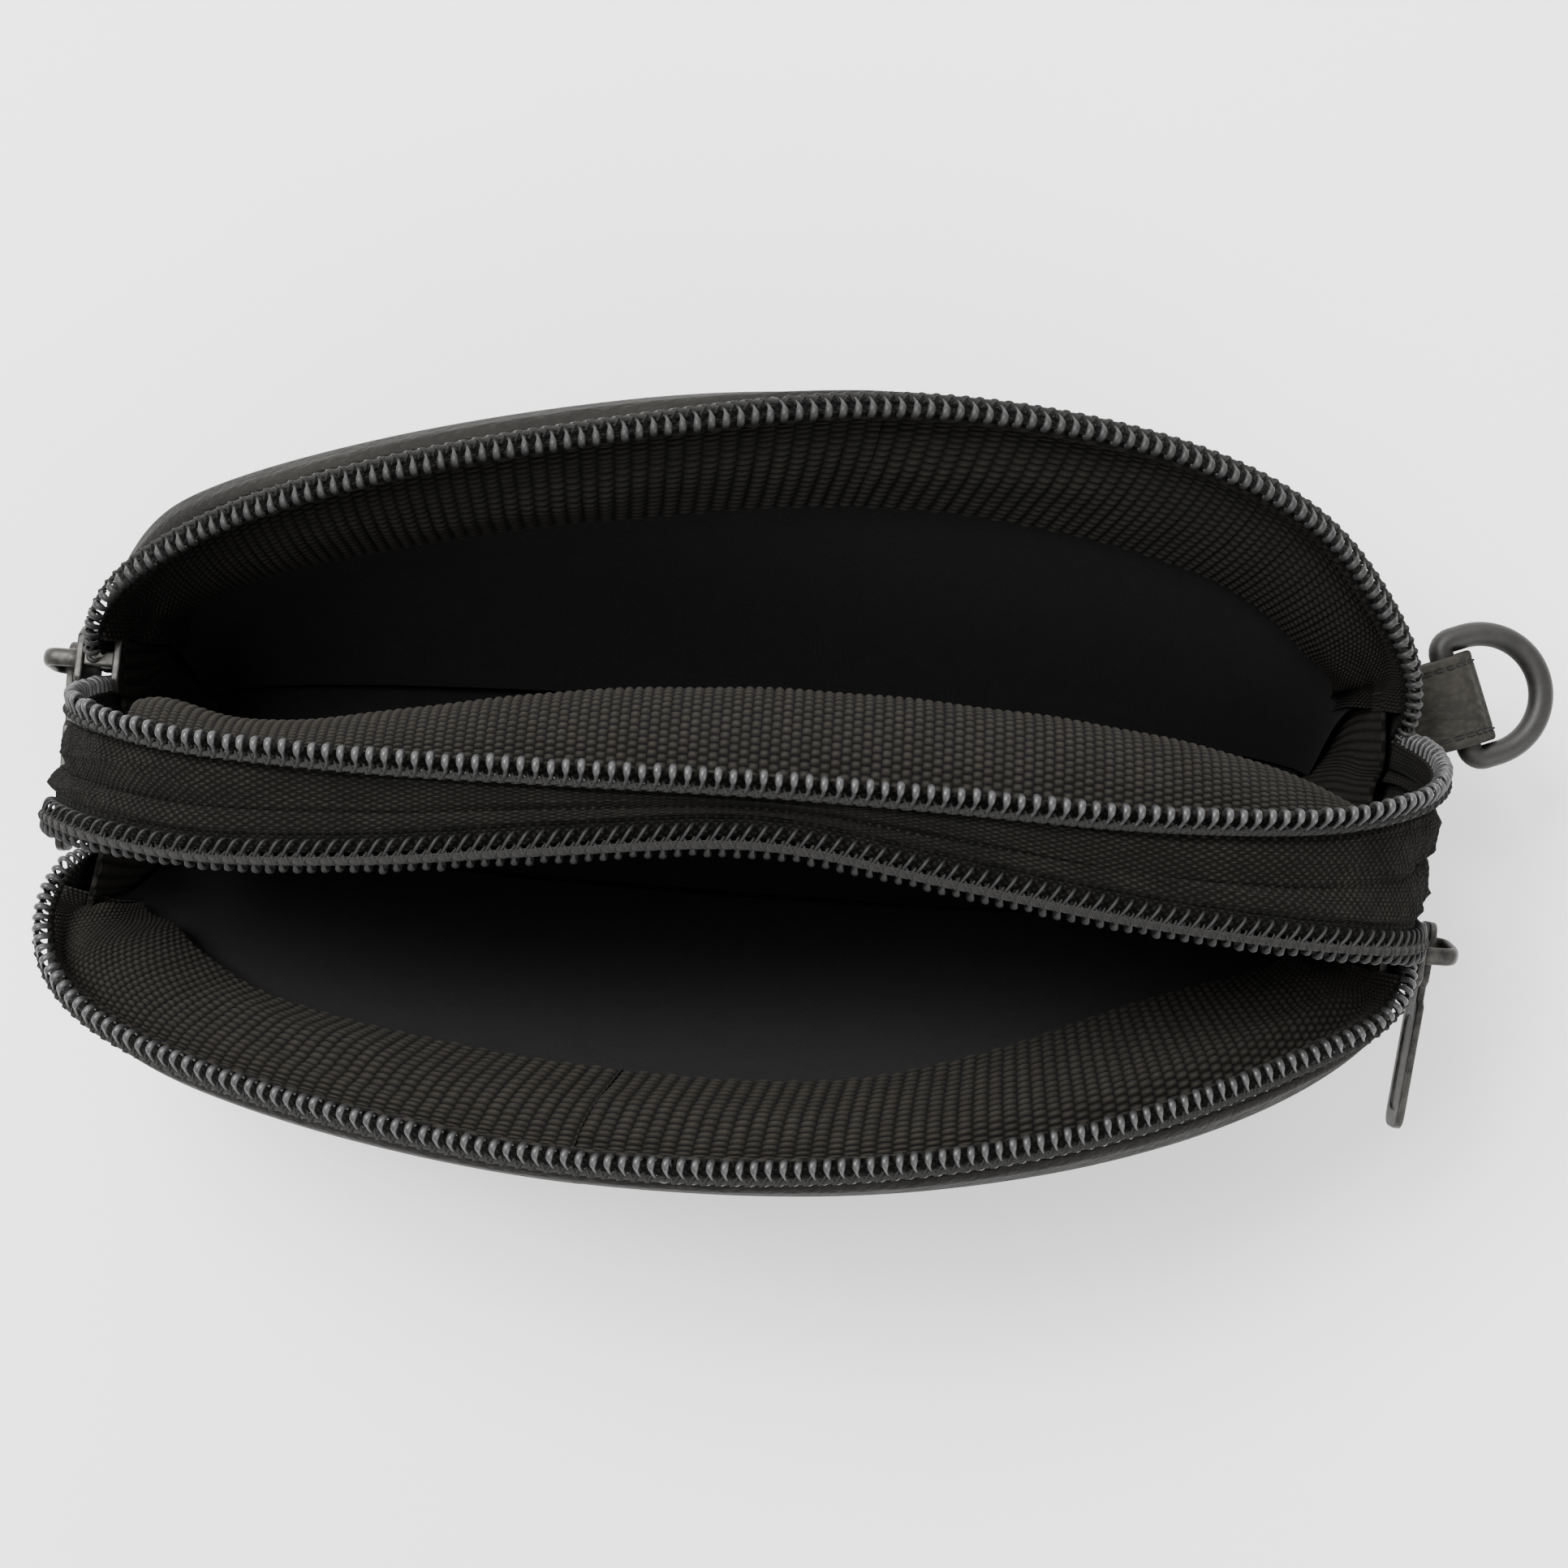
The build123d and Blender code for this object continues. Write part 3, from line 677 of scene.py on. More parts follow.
def panel_pieces(label, side):
    def surface(u, v):
        return panel(side, u, v)

    def away(u, v):
        return panel_normal(side, u, v)

    rim = along(EDGES[side], np.linspace(0, 1, 200))
    length = arc_length(rim)[-1] / 2

    def leather(part):
        def swell(a, b):
            u = (a / length * 0.5) + (0.5 if part == "right" else 0.0)
            if side > 0:
                big = (smooth((u - 0.06) / 0.12) * smooth((0.56 - u) / 0.16)
                       + 0.4 * smooth((u - 0.62) / 0.12) * smooth((0.97 - u) / 0.08))
            else:
                big = 0.85 * smooth((u - 0.12) / 0.2) * smooth((0.95 - u) / 0.2)
            bead = (0.6 + 2.9 * big) * np.exp(-((b - 57.6) / (1.5 + 1.9 * big)) ** 2)
            seam = -0.30 * np.exp(-((b - 52.6) / 0.35) ** 2)
            low = 0.14 * np.sin(a * 0.11 + b * 0.07) + 0.12 * np.sin(a * 0.053 - b * 0.16)
            return bead + seam + low
        return swell

    def lining(a, b):
        return 0.25 * np.sin(a * 0.15 + 0.4) * np.sin(b * 0.12) + 0.12 * np.sin(a * 0.41 + b * 0.3)

    weave = weave_height(0.52)

    def crumpled(a, b):
        ridge = (b - 5.0 - 1.5 * np.sin(a * 0.07)) / 1.6
        furrow = (b - 8.5 - 2.0 * np.sin(a * 0.045 + 2)) / 0.9
        wave = 0.5 * np.exp(-ridge ** 2) * smooth(np.sin(a * 0.095 + 0.6))
        dip = -0.5 * np.exp(-furrow ** 2) * smooth(np.sin(a * 0.06 + 2.2))
        return weave(a, b) + wave + dip

    for half, low_u, high_u, opened in (("left", 0.0, 0.5, "u1"), ("right", 0.5, 1.0, "u0")):
        hide = skin(f"{label}_leather_{half}", surface, away, length, 62.0, 150, 70, 0.0, LEATHER,
                    puff=leather(half), span=(low_u, high_u, -0.02, 1),
                    open_ends=(opened,), flow=True)
        dress(hide, LEATHER_UV)
        deep = TAPE + BOARD + 3 * GAP
        felt = skin(f"{label}_felt_{half}", surface, away, length, 53.0, 110, 50, -deep - LINING,
                    -deep, span=(max(low_u, 0.02), min(high_u, 0.98), 0.03, 0.90),
                    open_ends=(opened,))
        dress(felt, FELT)
        deep = TAPE + BOARD + LINING + 4 * GAP
        facing = skin(f"{label}_facing_{half}", *facing_surface(side, deep), length * 0.97, 15.0,
                      420, 104, -WEBBING / 2, WEBBING / 2 - 0.5, puff=crumpled,
                      span=(max(low_u, 0.012), min(high_u, 0.988), 0, 1), open_ends=(opened,))
        # The rear facing takes the darker copy of the webbing: painted shade.
        dress(facing, BASKET_SHADED if side > 0 else BASKET)
        for piece, node in ((hide, "leather"), (felt, "lining"), (facing, "webbing")):
            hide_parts(f"{label}_panel_{node}")
            bend_ends(piece)


# ---- zips -----------------------------------------------------------------------------------

def spread(values, sigma):
    """Smooths rows of values along their first axis."""
    reach = int(3 * sigma)
    kernel = np.exp(-0.5 * (np.arange(-reach, reach + 1) / sigma) ** 2)
    kernel /= kernel.sum()
    padded = np.concatenate([np.repeat(values[:1], reach, 0), values,
                             np.repeat(values[-1:], reach, 0)])
    columns = [np.convolve(column, kernel, "valid") for column in padded.T]
    return np.stack(columns, -1)


MID_TOOTH, CHAIN_POINTS = 2.3, 1400     # millimetres from the backs of the teeth; points along


class Chain:
    """Half a zip: the line along the backs of its teeth, and which way they point and face."""

    def __init__(self, back, way, face, edge, sigma=6.0):
        length = arc_length(back + way * MID_TOOTH)
        self.length = length[-1]
        self.at = np.linspace(0, self.length, CHAIN_POINTS)
        step = self.length / (CHAIN_POINTS - 1)

        def blur(rows):
            even = np.stack([np.interp(self.at, length, column) for column in rows.T], -1)
            return spread(even, sigma / step)

        self.back = blur(back)
        self.way = unit(blur(way))
        face = blur(face)
        self.face = unit(face - self.way * np.sum(face * self.way, -1, keepdims=True))
        self.edge = blur(edge)

    def read(self, rows, s):
        return np.stack([np.interp(s, self.at, rows[:, k]) for k in range(3)], -1)

    def place(self, s, w, h):
        """Points at s along the chain, w from the backs to the tips, and h above the tape."""
        s, w, h = np.broadcast_arrays(*(np.asarray(q, float) for q in (s, w, h)))
        return (self.read(self.back, s) + self.read(self.way, s) * w[..., None]
                + self.read(self.face, s) * h[..., None])


def rim_chain(side):
    """The half of a zip on a panel's edge, with its closed ends running down to the feet."""
    top, _, way, face, curled = rim_lines(side, np.linspace(0, 1, 400))
    back = curled + way * (TAPE_UNDER_COIL - COIL_SET)
    ends = []
    for at, last in ((0.0, False), (1.0, True)):
        v = np.linspace(0.62, 0.95, 40)
        if last:
            v = v[::-1]
        edge = panel(side, at + 0 * v, v)
        normal_out = panel_normal(side, at + 0 * v, v)
        across = np.tile([0.0, -side, 0.0], (len(v), 1))
        ends.append((edge, edge + across * 0.6, across, normal_out))
    (e0, b0, w0, f0), (e1, b1, w1, f1) = ends
    return Chain(np.vstack([b0, back, b1]), np.vstack([w0, way, w1]), np.vstack([f0, face, f1]),
                 np.vstack([e0, top, e1]))


def middle_chain(side):
    """The half of a zip on the gusset."""
    s = np.linspace(ZIP_FOOT, 1 - ZIP_FOOT, 700)
    edge = gusset(s, np.full_like(s, 1.0 if side > 0 else 0.0))
    away = gusset_away(s)
    tilt = math.radians(REAR_TILT if side > 0 else FRONT_TILT)
    rise = (tilt * smooth((0.5 - np.abs(s - 0.5) - 0.2) / 0.15))[:, None]
    out = np.tile([0.0, side, 0.0], (len(s), 1))
    way = out * np.cos(rise) + away * np.sin(rise)
    face = away * np.cos(rise) - out * np.sin(rise)
    return Chain(edge + way * 0.6, way, face, edge, sigma=3.0)


WIRE = 0.94                   # of the drawn thickness of the winding
TOOTH = [
    # along in pitches, from back to tip, above the tape, half width along the chain, half depth
    (0.00, 0.70, 0.02, 0.21, 0.22), (0.00, 1.90, 0.00, 0.21, 0.22), (0.00, 3.20, 0.08, 0.26, 0.24),
    (0.00, 4.05, 0.30, 0.40, 0.28), (0.00, 4.48, 0.76, 0.49, 0.32), (0.00, 4.64, 1.20, 0.52, 0.36),
    (0.00, 4.46, 1.66, 0.53, 0.38), (0.00, 4.08, 1.96, 0.46, 0.36), (0.01, 3.45, 2.02, 0.30, 0.28),
    (0.06, 2.66, 1.98, 0.23, 0.24), (0.20, 1.92, 1.94, 0.21, 0.23), (0.42, 1.15, 1.84, 0.22, 0.23),
    (0.64, 0.52, 1.55, 0.23, 0.23), (0.80, 0.24, 1.10, 0.23, 0.23), (0.92, 0.34, 0.60, 0.22, 0.23),
]


def coil_piece(name, chain, start, stop, lean=1):
    """Nylon coil: one flattened winding with a head at each turn."""
    count = int((stop - start) / PITCH + 1e-6)
    rows = np.array(TOOTH)
    rows[:, 3:] *= np.where(rows[:, 3:4] < 0.4, WIRE, 1.0)
    turns = np.arange(count)[:, None]
    if lean < 0:
        rows = rows[::-1]
        s = (turns * PITCH + (1 - rows[None, :, 0]) * PITCH + start).ravel()
    else:
        s = (turns * PITCH + rows[None, :, 0] * PITCH + start).ravel()

    def tile(k):
        return np.tile(rows[:, k], count)

    wobble = 1 + 0.03 * np.repeat(rng.standard_normal(count), len(rows))
    points = chain.place(s, tile(1) * wobble, tile(2))
    fine = np.linspace(0, len(points) - 1, (len(points) - 1) * 2 + 1)
    points = along(points, fine / (len(points) - 1))
    first = np.interp(fine, np.arange(len(s)), tile(3))
    second = np.interp(fine, np.arange(len(s)), tile(4))
    s = np.interp(fine, np.arange(len(s)), s)
    direction = unit(chain.read(np.gradient(chain.back, axis=0), s))
    return tube(name, points, direction, first, second, sides=8)


LOOP_POINTS, LOOP_SIDES = 9, 6


def stitch_piece(name, chain, start, stop, band=(1.75, 1.95, 0.42, 0.36)):
    """Cord inside the winding and the rows of thread that hold it to the tape."""
    s = np.arange(start, stop, 0.35)
    beat = np.sin(2 * np.pi * (s - start) / PITCH)
    middle, lift, wide, thick = band
    rise = np.cos(2 * np.pi * (s - start) / PITCH)
    cord = chain.place(s, middle + 0.05 * beat, lift + 0.10 * rise)
    direction = chain.read(chain.way, s)
    pieces = [tube(name + "_cord", cord, direction, wide + 0.06 * beat, thick, sides=10)]
    count = int((stop - start) / PITCH + 1e-6)
    verts, faces, uvs, size = [], [], [], 0
    loop = np.array([(-0.42, 1.18, 1.5), (-0.22, 1.34, 2.1), (0.0, 1.75, 2.42), (0.22, 2.16, 2.1),
                     (0.42, 2.32, 1.5)])
    loop = along(loop, np.linspace(0, 1, LOOP_POINTS))
    loop_uv = np.stack([np.repeat(np.linspace(0, 3.5, LOOP_POINTS), LOOP_SIDES),
                        np.tile(np.arange(LOOP_SIDES) * 0.25, LOOP_POINTS)], -1)
    for k in range(count):
        for flip in (1, -1):
            at = start + (k + 0.5) * PITCH
            at_s = at + loop[:, 0] * PITCH * 0.9 + rng.normal(0, 0.04)
            w = middle + flip * (loop[:, 1] - 1.75) * (wide + 0.2) / 0.6
            points = chain.place(at_s, w, loop[:, 2] + (0.06 if flip > 0 else 0))
            way = chain.read(chain.face, at_s)
            a, b = section_axes(points, way, np.full(LOOP_POINTS, 0.16), np.full(LOOP_POINTS, 0.20))
            verts.append(tube_grid(points, a, b, LOOP_SIDES).reshape(-1, 3))
            faces.append(tube_faces(LOOP_POINTS, LOOP_SIDES, size))
            uvs.append(loop_uv)
            size += LOOP_POINTS * LOOP_SIDES
    pieces.append(finish_mesh(name + "_loops", np.vstack(verts), np.vstack(faces), np.vstack(uvs)))
    return join(name, pieces)


def chain_tape(name, chain, start, stop, hem, wide=2.7):
    """Woven tape from the seam to under the coil."""
    def surface(u, v):
        s = start + (stop - start) * u
        back, way, face = (chain.read(r, s) for r in (chain.back, chain.way, chain.face))
        edge = chain.read(chain.edge, s)
        sunk = edge + hem(s)
        near_end = smooth((16 - np.minimum(s, chain.length - s)) / 8)[..., None]
        knots = np.stack([sunk, edge, back + way * -0.2, back + way * (wide + 0.9 * near_end)])
        return through(knots, v)

    def away(u, v):
        e = 0.004
        du = surface(np.minimum(u + e, 1), v) - surface(np.maximum(u - e, 0), v)
        dv = surface(u, np.minimum(v + 0.05, 1)) - surface(u, np.maximum(v - 0.05, 0))
        face = chain.read(chain.face, start + (stop - start) * u)
        return towards(unit(np.cross(du, dv)), face)

    length = stop - start
    return skin(name, surface, away, length, 9.0, max(int(length), 20), 24, -TAPE / 2, TAPE / 2,
                puff=lambda a, b: 0.06 * np.sin(a * 0.9 + np.sin(b)) * np.sin(b * 0.35))


def zip_pieces(label, side):
    """Both halves of one zip."""
    chain = rim_chain(side)
    half = int(chain.length / 2 / PITCH) * PITCH
    # The rear rim's teeth take the rougher coil whose darker colour is painted shade.
    rim_shade = COIL if side < 0 else COIL_DULL_SHADED
    lean = 1 if side < 0 else -1

    def hem(s):
        edge = chain.read(chain.edge, s)
        back = chain.read(chain.back, s)
        return unit(edge - back) * 3.5 - chain.read(chain.face, s) * 1.2

    for half_name, start, stop in (("left", 0.0, half), ("right", half, chain.length)):
        left = half_name == "left"
        teeth = int((stop - start) / PITCH + 1e-6) * PITCH
        coil = coil_piece(f"{label}_rim_teeth_{half_name}", chain, start, start + teeth, lean)
        dress(coil, rim_shade)
        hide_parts(f"{label}_rim_coil")
        sewing = stitch_piece(f"{label}_rim_stitches_{half_name}", chain,
                              start + (0.4 if left else 0.0), start + teeth)
        dress(sewing, THREAD)
        cloth = chain_tape(f"{label}_rim_cloth_{half_name}", chain, start, stop, hem, 3.5)
        # The rear rim tape takes the darker copy of the weave: painted shade.
        dress(cloth, TWILL_SHADED if side > 0 else TWILL)
        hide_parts(f"{label}_rim_tape")
        for piece in (coil, sewing, cloth):
            bend_ends(piece)

    chain = middle_chain(side)
    coil = coil_piece(f"{label}_middle_teeth", chain, 0.0, chain.length, lean)
    # The front middle teeth take the darkest copy of the coil: painted shade.
    dress(coil, COIL if side > 0 else COIL_DEEP_SHADED)
    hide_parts(f"{label}_middle_coil")
    band = (1.75, 1.95, 0.42, 0.36) if side > 0 else (2.55, 2.10, 0.62, 0.30)
    sewing = stitch_piece(f"{label}_middle_stitches", chain, 0.4, chain.length, band)
    dress(sewing, THREAD)

    def seam(s):
        return np.array([0.0, -side * 2.2, 0.0]) - chain.read(chain.face, s) * 0.6

    cloth = chain_tape(f"{label}_middle_cloth", chain, 0.0, chain.length, seam)
    dress(cloth, TWILL)
    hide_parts(f"{label}_middle_tape")
    for piece in (coil, sewing, cloth):
        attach(piece, "core")


# ---- gusset and partition -------------------------------------------------------------------

def crease_at(s):
    """Where the two tapes of the gusset meet, from its front edge to its rear edge."""
    return 0.30 + 0.22 * smooth((s - 0.62) / 0.2) + 0.12 * smooth((0.3 - s) / 0.2)


def gusset_cloth():
    def surface(s, t):
        bulge = 0.95 + 0.3 * np.sin(s * 61) + 0.2 * np.sin(s * 23 + 1)
        c = crease_at(s)
        part = np.where(t < c, t / c, (1 - t) / (1 - c))
        height = bulge * (1.75 * np.sin(np.pi * np.clip(part, 0, 1) ** 0.75) ** 0.6 - 1.0)
        lift = np.where(t < c, 0.75, 1.0)
        towards_ends = smooth((np.abs(s - 0.5) - 0.12) / 0.2)
        fold = 0.7 * np.sin(s * 94 + t * 7) * np.sin(np.pi * t) ** 0.5 * towards_ends
        return gusset(s, t) + gusset_away(s) * (height * lift + fold)[..., None]

    def rumple(a, b):
        one = 1 - np.abs(np.sin(a * 0.055 + b * 0.42))
        two = 1 - np.abs(np.sin(a * 0.036 - b * 0.5 + 1.2))
        long_fold = 0.5 * one ** 4 + 0.45 * two ** 4
        rib = np.abs(np.sin(np.pi * 0.62 * (a + b)))
        cross = np.abs(np.sin(np.pi * 0.55 * (a - b))) ** 0.5
        return long_fold + 0.15 * rib * cross + 0.08 * np.sin(a * 0.8 + b) * np.sin(b * 0.6)

    cloth = skin("gusset_cloth", surface, lambda s, t: gusset_away(s), 330.0, 14.0, 900, 60,
                 -TAPE / 2, TAPE / 2, puff=rumple)
    # The gusset takes the lighter copy of the tape weave: painted light.
    put_on(cloth, TWILL_GUSSET_LIT, "core", "gusset_strip")


# How far the rear facing of the partition stands out, as (x, depth)
ROLL = [(-87, 3.0), (-84, 6.6), (-79, 6.4), (-70, 3.4), (-58, 4.4), (-40, 7.8), (-20, 11.2),
        (0, 12.8), (20, 12.8), (40, 11.8), (56, 10.0), (68, 8.0), (78, 5.0), (84, 2.0)]


def roll_out(x):
    """How far the rear facing of the partition stands out."""
    at = np.linspace(-95, 95, 381)
    rough = np.interp(at, *zip(*ROLL))
    return np.interp(x, at, spread(rough[:, None], 7.0)[:, 0])


def facing_path(x, v, side):
    """Section of a partition facing, from the gusset down."""
    top = gusset_height(x) - 2.6
    if side > 0:
        out = roll_out(x)
        ys = [1.2 + 0 * x, 1.6 + 0.52 * out, 1.9 + 0.93 * out, 2.0 + out, 1.9 + 0.72 * out]
        zs = [top, top - 1.6, top - 5.2, top - 9.8, top - 14.0]
    else:
        out = 0.9 + 0 * x
        ys = [1.6 + 0 * x, 2.2 + 0 * x, 2.7 + 0 * x, 2.9 + 0 * x, 2.9 + 0 * x]
        zs = [top, top - 2.6, top - 5.4, top - 8.2, top - 11.0]
    yz = through(np.stack([np.stack([y, z], -1) for y, z in zip(ys, zs)]), v)
    return vec(x, side * yz[..., 0], yz[..., 1])


def partition_pieces(label, side):
    def surface(u, v):
        return facing_path(-84.0 + 166.0 * u, v, side)

    def away(u, v):
        return towards(normal(surface, u, v), np.array([0.0, side, 0.0]))

    weave = weave_height(0.52)
    facing = skin(f"partition_facing_{label}", surface, away, 190.0, 16.0, 640, 100, -0.9, 0.0,
                  puff=weave)
    put_on(facing, BASKET, "core", f"partition_webbing_{label}")

    def wall(u, v):
        x = -82.0 + 164.0 * u
        low, high = 6.0, gusset_height(x) - 13.0
        swell = roll_out(x) * 0.6 if side > 0 else 0.8
        y = 1.5 + swell * smooth((v - 0.5) / 0.5)
        return vec(x, side * y, low + (high - low) * v)

    def wall_away(u, v):
        return towards(normal(wall, u, v), np.array([0.0, side, 0.0]))

    felt = skin(f"partition_felt_{label}", wall, wall_away, 164.0, 60.0, 120, 60, 0.0, LINING)
    put_on(felt, FELT, "core", f"partition_lining_{label}")

    low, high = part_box(f"base_lining_{label}")
    x0, x1, z0 = low.x / MM - 1.5, high.x / MM + 1.5, low.z / MM
    y0, y1 = sorted((side * 1.1, side * 14.2))

    def floor_surface(u, v):
        return vec(x0 + (x1 - x0) * u, y0 + (y1 - y0) * v, z0)

    felt = skin(f"floor_felt_{label}", floor_surface, lambda u, v: vec(0 * u, 0 * u, 1.0),
                x1 - x0, y1 - y0, 80, 16, 0.0, LINING,
                puff=lambda a, b: 0.05 * np.sin(a * 0.5) * np.sin(b * 0.8))
    put_on(felt, FELT, "core", f"base_lining_{label}")


def end_facing(label, side, end):
    """Webbing on one end of a compartment, from the partition round to the panel."""
    u_end = 0.05 if end < 0 else 0.95

    def surface(u, v):
        z = 3.4 + (31.2 + 5.5 * smooth((u - 0.3) / 0.6)) * v
        s = 0.12 * v + 0.005
        s = np.where(end < 0, s, 1 - s)
        line = gusset(s, np.full_like(s, 1.0 if side > 0 else 0.0))
        x, y = line[..., 0], line[..., 1]
        rim = along(EDGES[side], np.full_like(z, u_end))[..., 2]
        height = np.minimum((z - WALL_FOOT) / (rim - WALL_FOOT), 0.93)
        at = np.full_like(z, 0.008 if end < 0 else 0.992)
        corner = panel(side, at, height) - panel_normal(side, at, height) * 0.9
        at = np.full_like(z, u_end)
        wall = panel(side, at, height) - panel_normal(side, at, height) * 2.4
        knots = np.stack([vec(end * 81.5 + 0 * z, side * 2.4 + 0 * z, z),
                          vec(x - end * 3.0, side * 2.6 + 0 * z, z),
                          vec(x - end * 1.6, y * 0.75, z),
                          vec(x - end * 1.1, y + side * 0.6, z),
                          vec(corner[..., 0] - end * 0.9, corner[..., 1], z),
                          vec(wall[..., 0] - end * 0.2, wall[..., 1], z)])
        return through(knots, u)

    def away(u, v):
        n = normal(surface, u, v)
        return n * np.sign(-end * n[..., 0:1] + 1e-6)

    name = f"end_facing_{label}_{'left' if end < 0 else 'right'}"
    cloth = skin(name, surface, away, 42.0, 36.0, 250, 190, 0.0, LINING,
                 puff=weave_height(0.4))
    # The end facings take the darker copy of the webbing: painted shade.
    put_on(cloth, BASKET_SHADED, "core")


# ---- sliders, pulls, ring and tab -------------------------------------------------------------

def slider_plane(side):
    centre, lean = SLIDERS[side]
    lean = math.radians(lean)
    x = Vector((0, side * math.cos(lean), -math.sin(lean)))
    z = Vector((-side, 0, 0))
    y = z.cross(x)
    frame_matrix = Matrix((x, y, z)).transposed().to_4x4()
    frame_matrix.translation = Vector(centre) * MM
    return frame_matrix


def rounded(points, radius, steps=6):
    """Outline with its corners rounded."""
    out = []
    count = len(points)
    for k in range(count):
        p, a, b = (Vector(points[j % count]) for j in (k, k - 1, k + 1))
        r = radius[k] if hasattr(radius, "__len__") else radius
        into, away = (a - p).normalized(), (b - p).normalized()
        if r <= 0:
            out.append(tuple(p))
            continue
        half = into.angle(away) / 2
        reach = min(r / math.tan(half), (a - p).length * 0.49, (b - p).length * 0.49)
        first, last = p + into * reach, p + away * reach
        for i in range(steps + 1):
            t = i / steps
            q = first * (1 - t) ** 2 + p * 2 * t * (1 - t) + last * t ** 2
            out.append(tuple(q))
    return out


def circle_outline(radius, steps=28):
    turns = [2 * math.pi * k / steps for k in range(steps)]
    return [(radius * math.cos(turn), radius * math.sin(turn)) for turn in turns]


SLIDER_PLATE, PLATE_HEIGHT = 1.1, 2.65      # thickness, and middle above the zip's own plane
RAIL_HEIGHT, SLIDER_GAP = 1.6, 4.2
ARCH_HALF, ARCH_REACH, ARCH_FOOT, ARCH_BEND = 3.5, 4.8, 3.2, 1.7
PULL_LEAN = 6.0               # degrees, front pull only
PULL_THICK, PULL_FLOOR = 1.1, 0.6


def slider_pieces(label, side):
    plane = slider_plane(side)
    slider_casting(label, plane)
    slider_arch(label, plane)
    pull_blade(label, side)


def slider_casting(label, plane):
    def lifted(z):
        return plane @ Matrix.Translation(Vector((0, 0, z)) * MM)

    outline = rounded([(-4.8, -3.5), (-3.2, -5.5), (3.2, -5.5), (4.8, -3.5), (3.5, 5.5),
                       (-3.5, 5.5)], 1.0)
    made = [flat_shape("plate", [outline], SLIDER_PLATE, 0.28, lifted(k * PLATE_HEIGHT))
            for k in (1, -1)]
    for k in (1, -1):
        for flank in (1, -1):
            rail = rounded([(flank * 4.75, -3.1), (flank * 3.95, -3.3), (flank * 2.75, 5.2),
                            (flank * 3.5, 5.2)], 0.2)
            made.append(flat_shape("rail", [rail], 1.4, 0.2, lifted(k * RAIL_HEIGHT)))
    post = rounded([(-1.2, -5.0), (1.2, -5.0), (0.9, -1.4), (0, -0.6), (-0.9, -1.4)], 0.5)
    made.append(flat_shape("post", [post], SLIDER_GAP, 0.15, lifted(0)))
    body = join(f"{label}_slider_casting", made)
    put_on(body, ZINC, f"{label}_slider", f"{label}_slider_body")


def slider_arch(label, plane):
    shoulder = ARCH_FOOT + ARCH_REACH - ARCH_BEND
    path = [(0, -ARCH_HALF, ARCH_FOOT - 0.4), (0, -ARCH_HALF, ARCH_FOOT + 1.2)]
    for flank, turns in ((-1, range(9)), (1, range(8, -1, -1))):
        for k in turns:
            turn = math.pi / 2 * k / 8
            path.append((0, flank * (ARCH_HALF - ARCH_BEND * (1 - math.cos(turn))),
                         shoulder + ARCH_BEND * math.sin(turn)))
    path += [(0, ARCH_HALF, ARCH_FOOT + 1.2), (0, ARCH_HALF, ARCH_FOOT - 0.4)]
    points = np.array([(plane @ (Vector(p) * MM)) / MM for p in path])
    width = np.array(plane.to_3x3() @ Vector((1, 0, 0)))
    arch = tube(f"{label}_slider_arch", points, width, 1.3, 0.72, sides=16)
    put_on(arch, ZINC, f"{label}_slider", f"{label}_slider_bridge")


def pull_blade(label, side):
    joint = next(j for j in frame["joints"] if j["name"] == f"{label}_pull_swing")
    lean = math.radians(PULL_LEAN if side < 0 else 0)
    x = Vector((-side * math.sin(lean), math.cos(lean), 0))
    z = Vector((-side * math.cos(lean), -math.sin(lean), 0))
    sheet_plane = Matrix((x, z.cross(x), z)).transposed().to_4x4()
    sheet_plane.translation = Vector(joint["pos_m"])
    blade = rounded([(3.5, -3.5), (3.5, 3.5), (-5.2, 3.5), (-6.0, 2.6), (-8.0, 2.6), (-8.8, 3.5),
                     (-27.0, 3.5), (-27.0, -3.5), (-8.8, -3.5), (-8.0, -2.6), (-6.0, -2.6),
                     (-5.2, -3.5)],
                    [2.4, 2.4, 0.5, 0.5, 0.5, 0.5, 2.4, 2.4, 0.5, 0.5, 0.5, 0.5])
    recess = rounded([(-24.4, -2.0), (-24.4, 2.0), (-10.4, 2.0), (-10.4, -2.0)], 1.5)
    rim = flat_shape("pull_rim", [blade, circle_outline(2.2), recess], PULL_THICK, 0.25,
                     sheet_plane)
    floor = rounded([(-25.0, -2.6), (-25.0, 2.6), (-9.8, 2.6), (-9.8, -2.6)], 1.8)
    centre = flat_shape("pull_floor", [floor], PULL_FLOOR, 0.1, sheet_plane)
    pull = join(f"{label}_pull_blade", [rim, centre])
    put_on(pull, ZINC, f"{label}_pull", f"{label}_slider_pull")


WIRE_RADIUS, RING_SIDES = 1.8, 24
RING_PLACE = (101.84, 22.07, 31.0)    # middle of the bar
TAB_ROOT, TAB_WIDTH = (95.4, 19.6, 31.0), 13.4
# Section of the folded strap from its root over the ring's bar and back, as (along, up)
TAB_SECTION = [
    (-3.2, 0.9), (0.4, 1.7), (4.1, 2.9), (6.9, 3.25), (8.7, 2.5), (9.7, 1.2), (10.35, 0.62),
    (10.6, 0.0), (10.35, -0.62), (9.7, -1.2), (8.7, -2.5), (6.9, -3.25), (4.1, -2.9), (0.4, -1.7),
    (-3.2, -0.9),
]
SEAM_INSET = 1.6


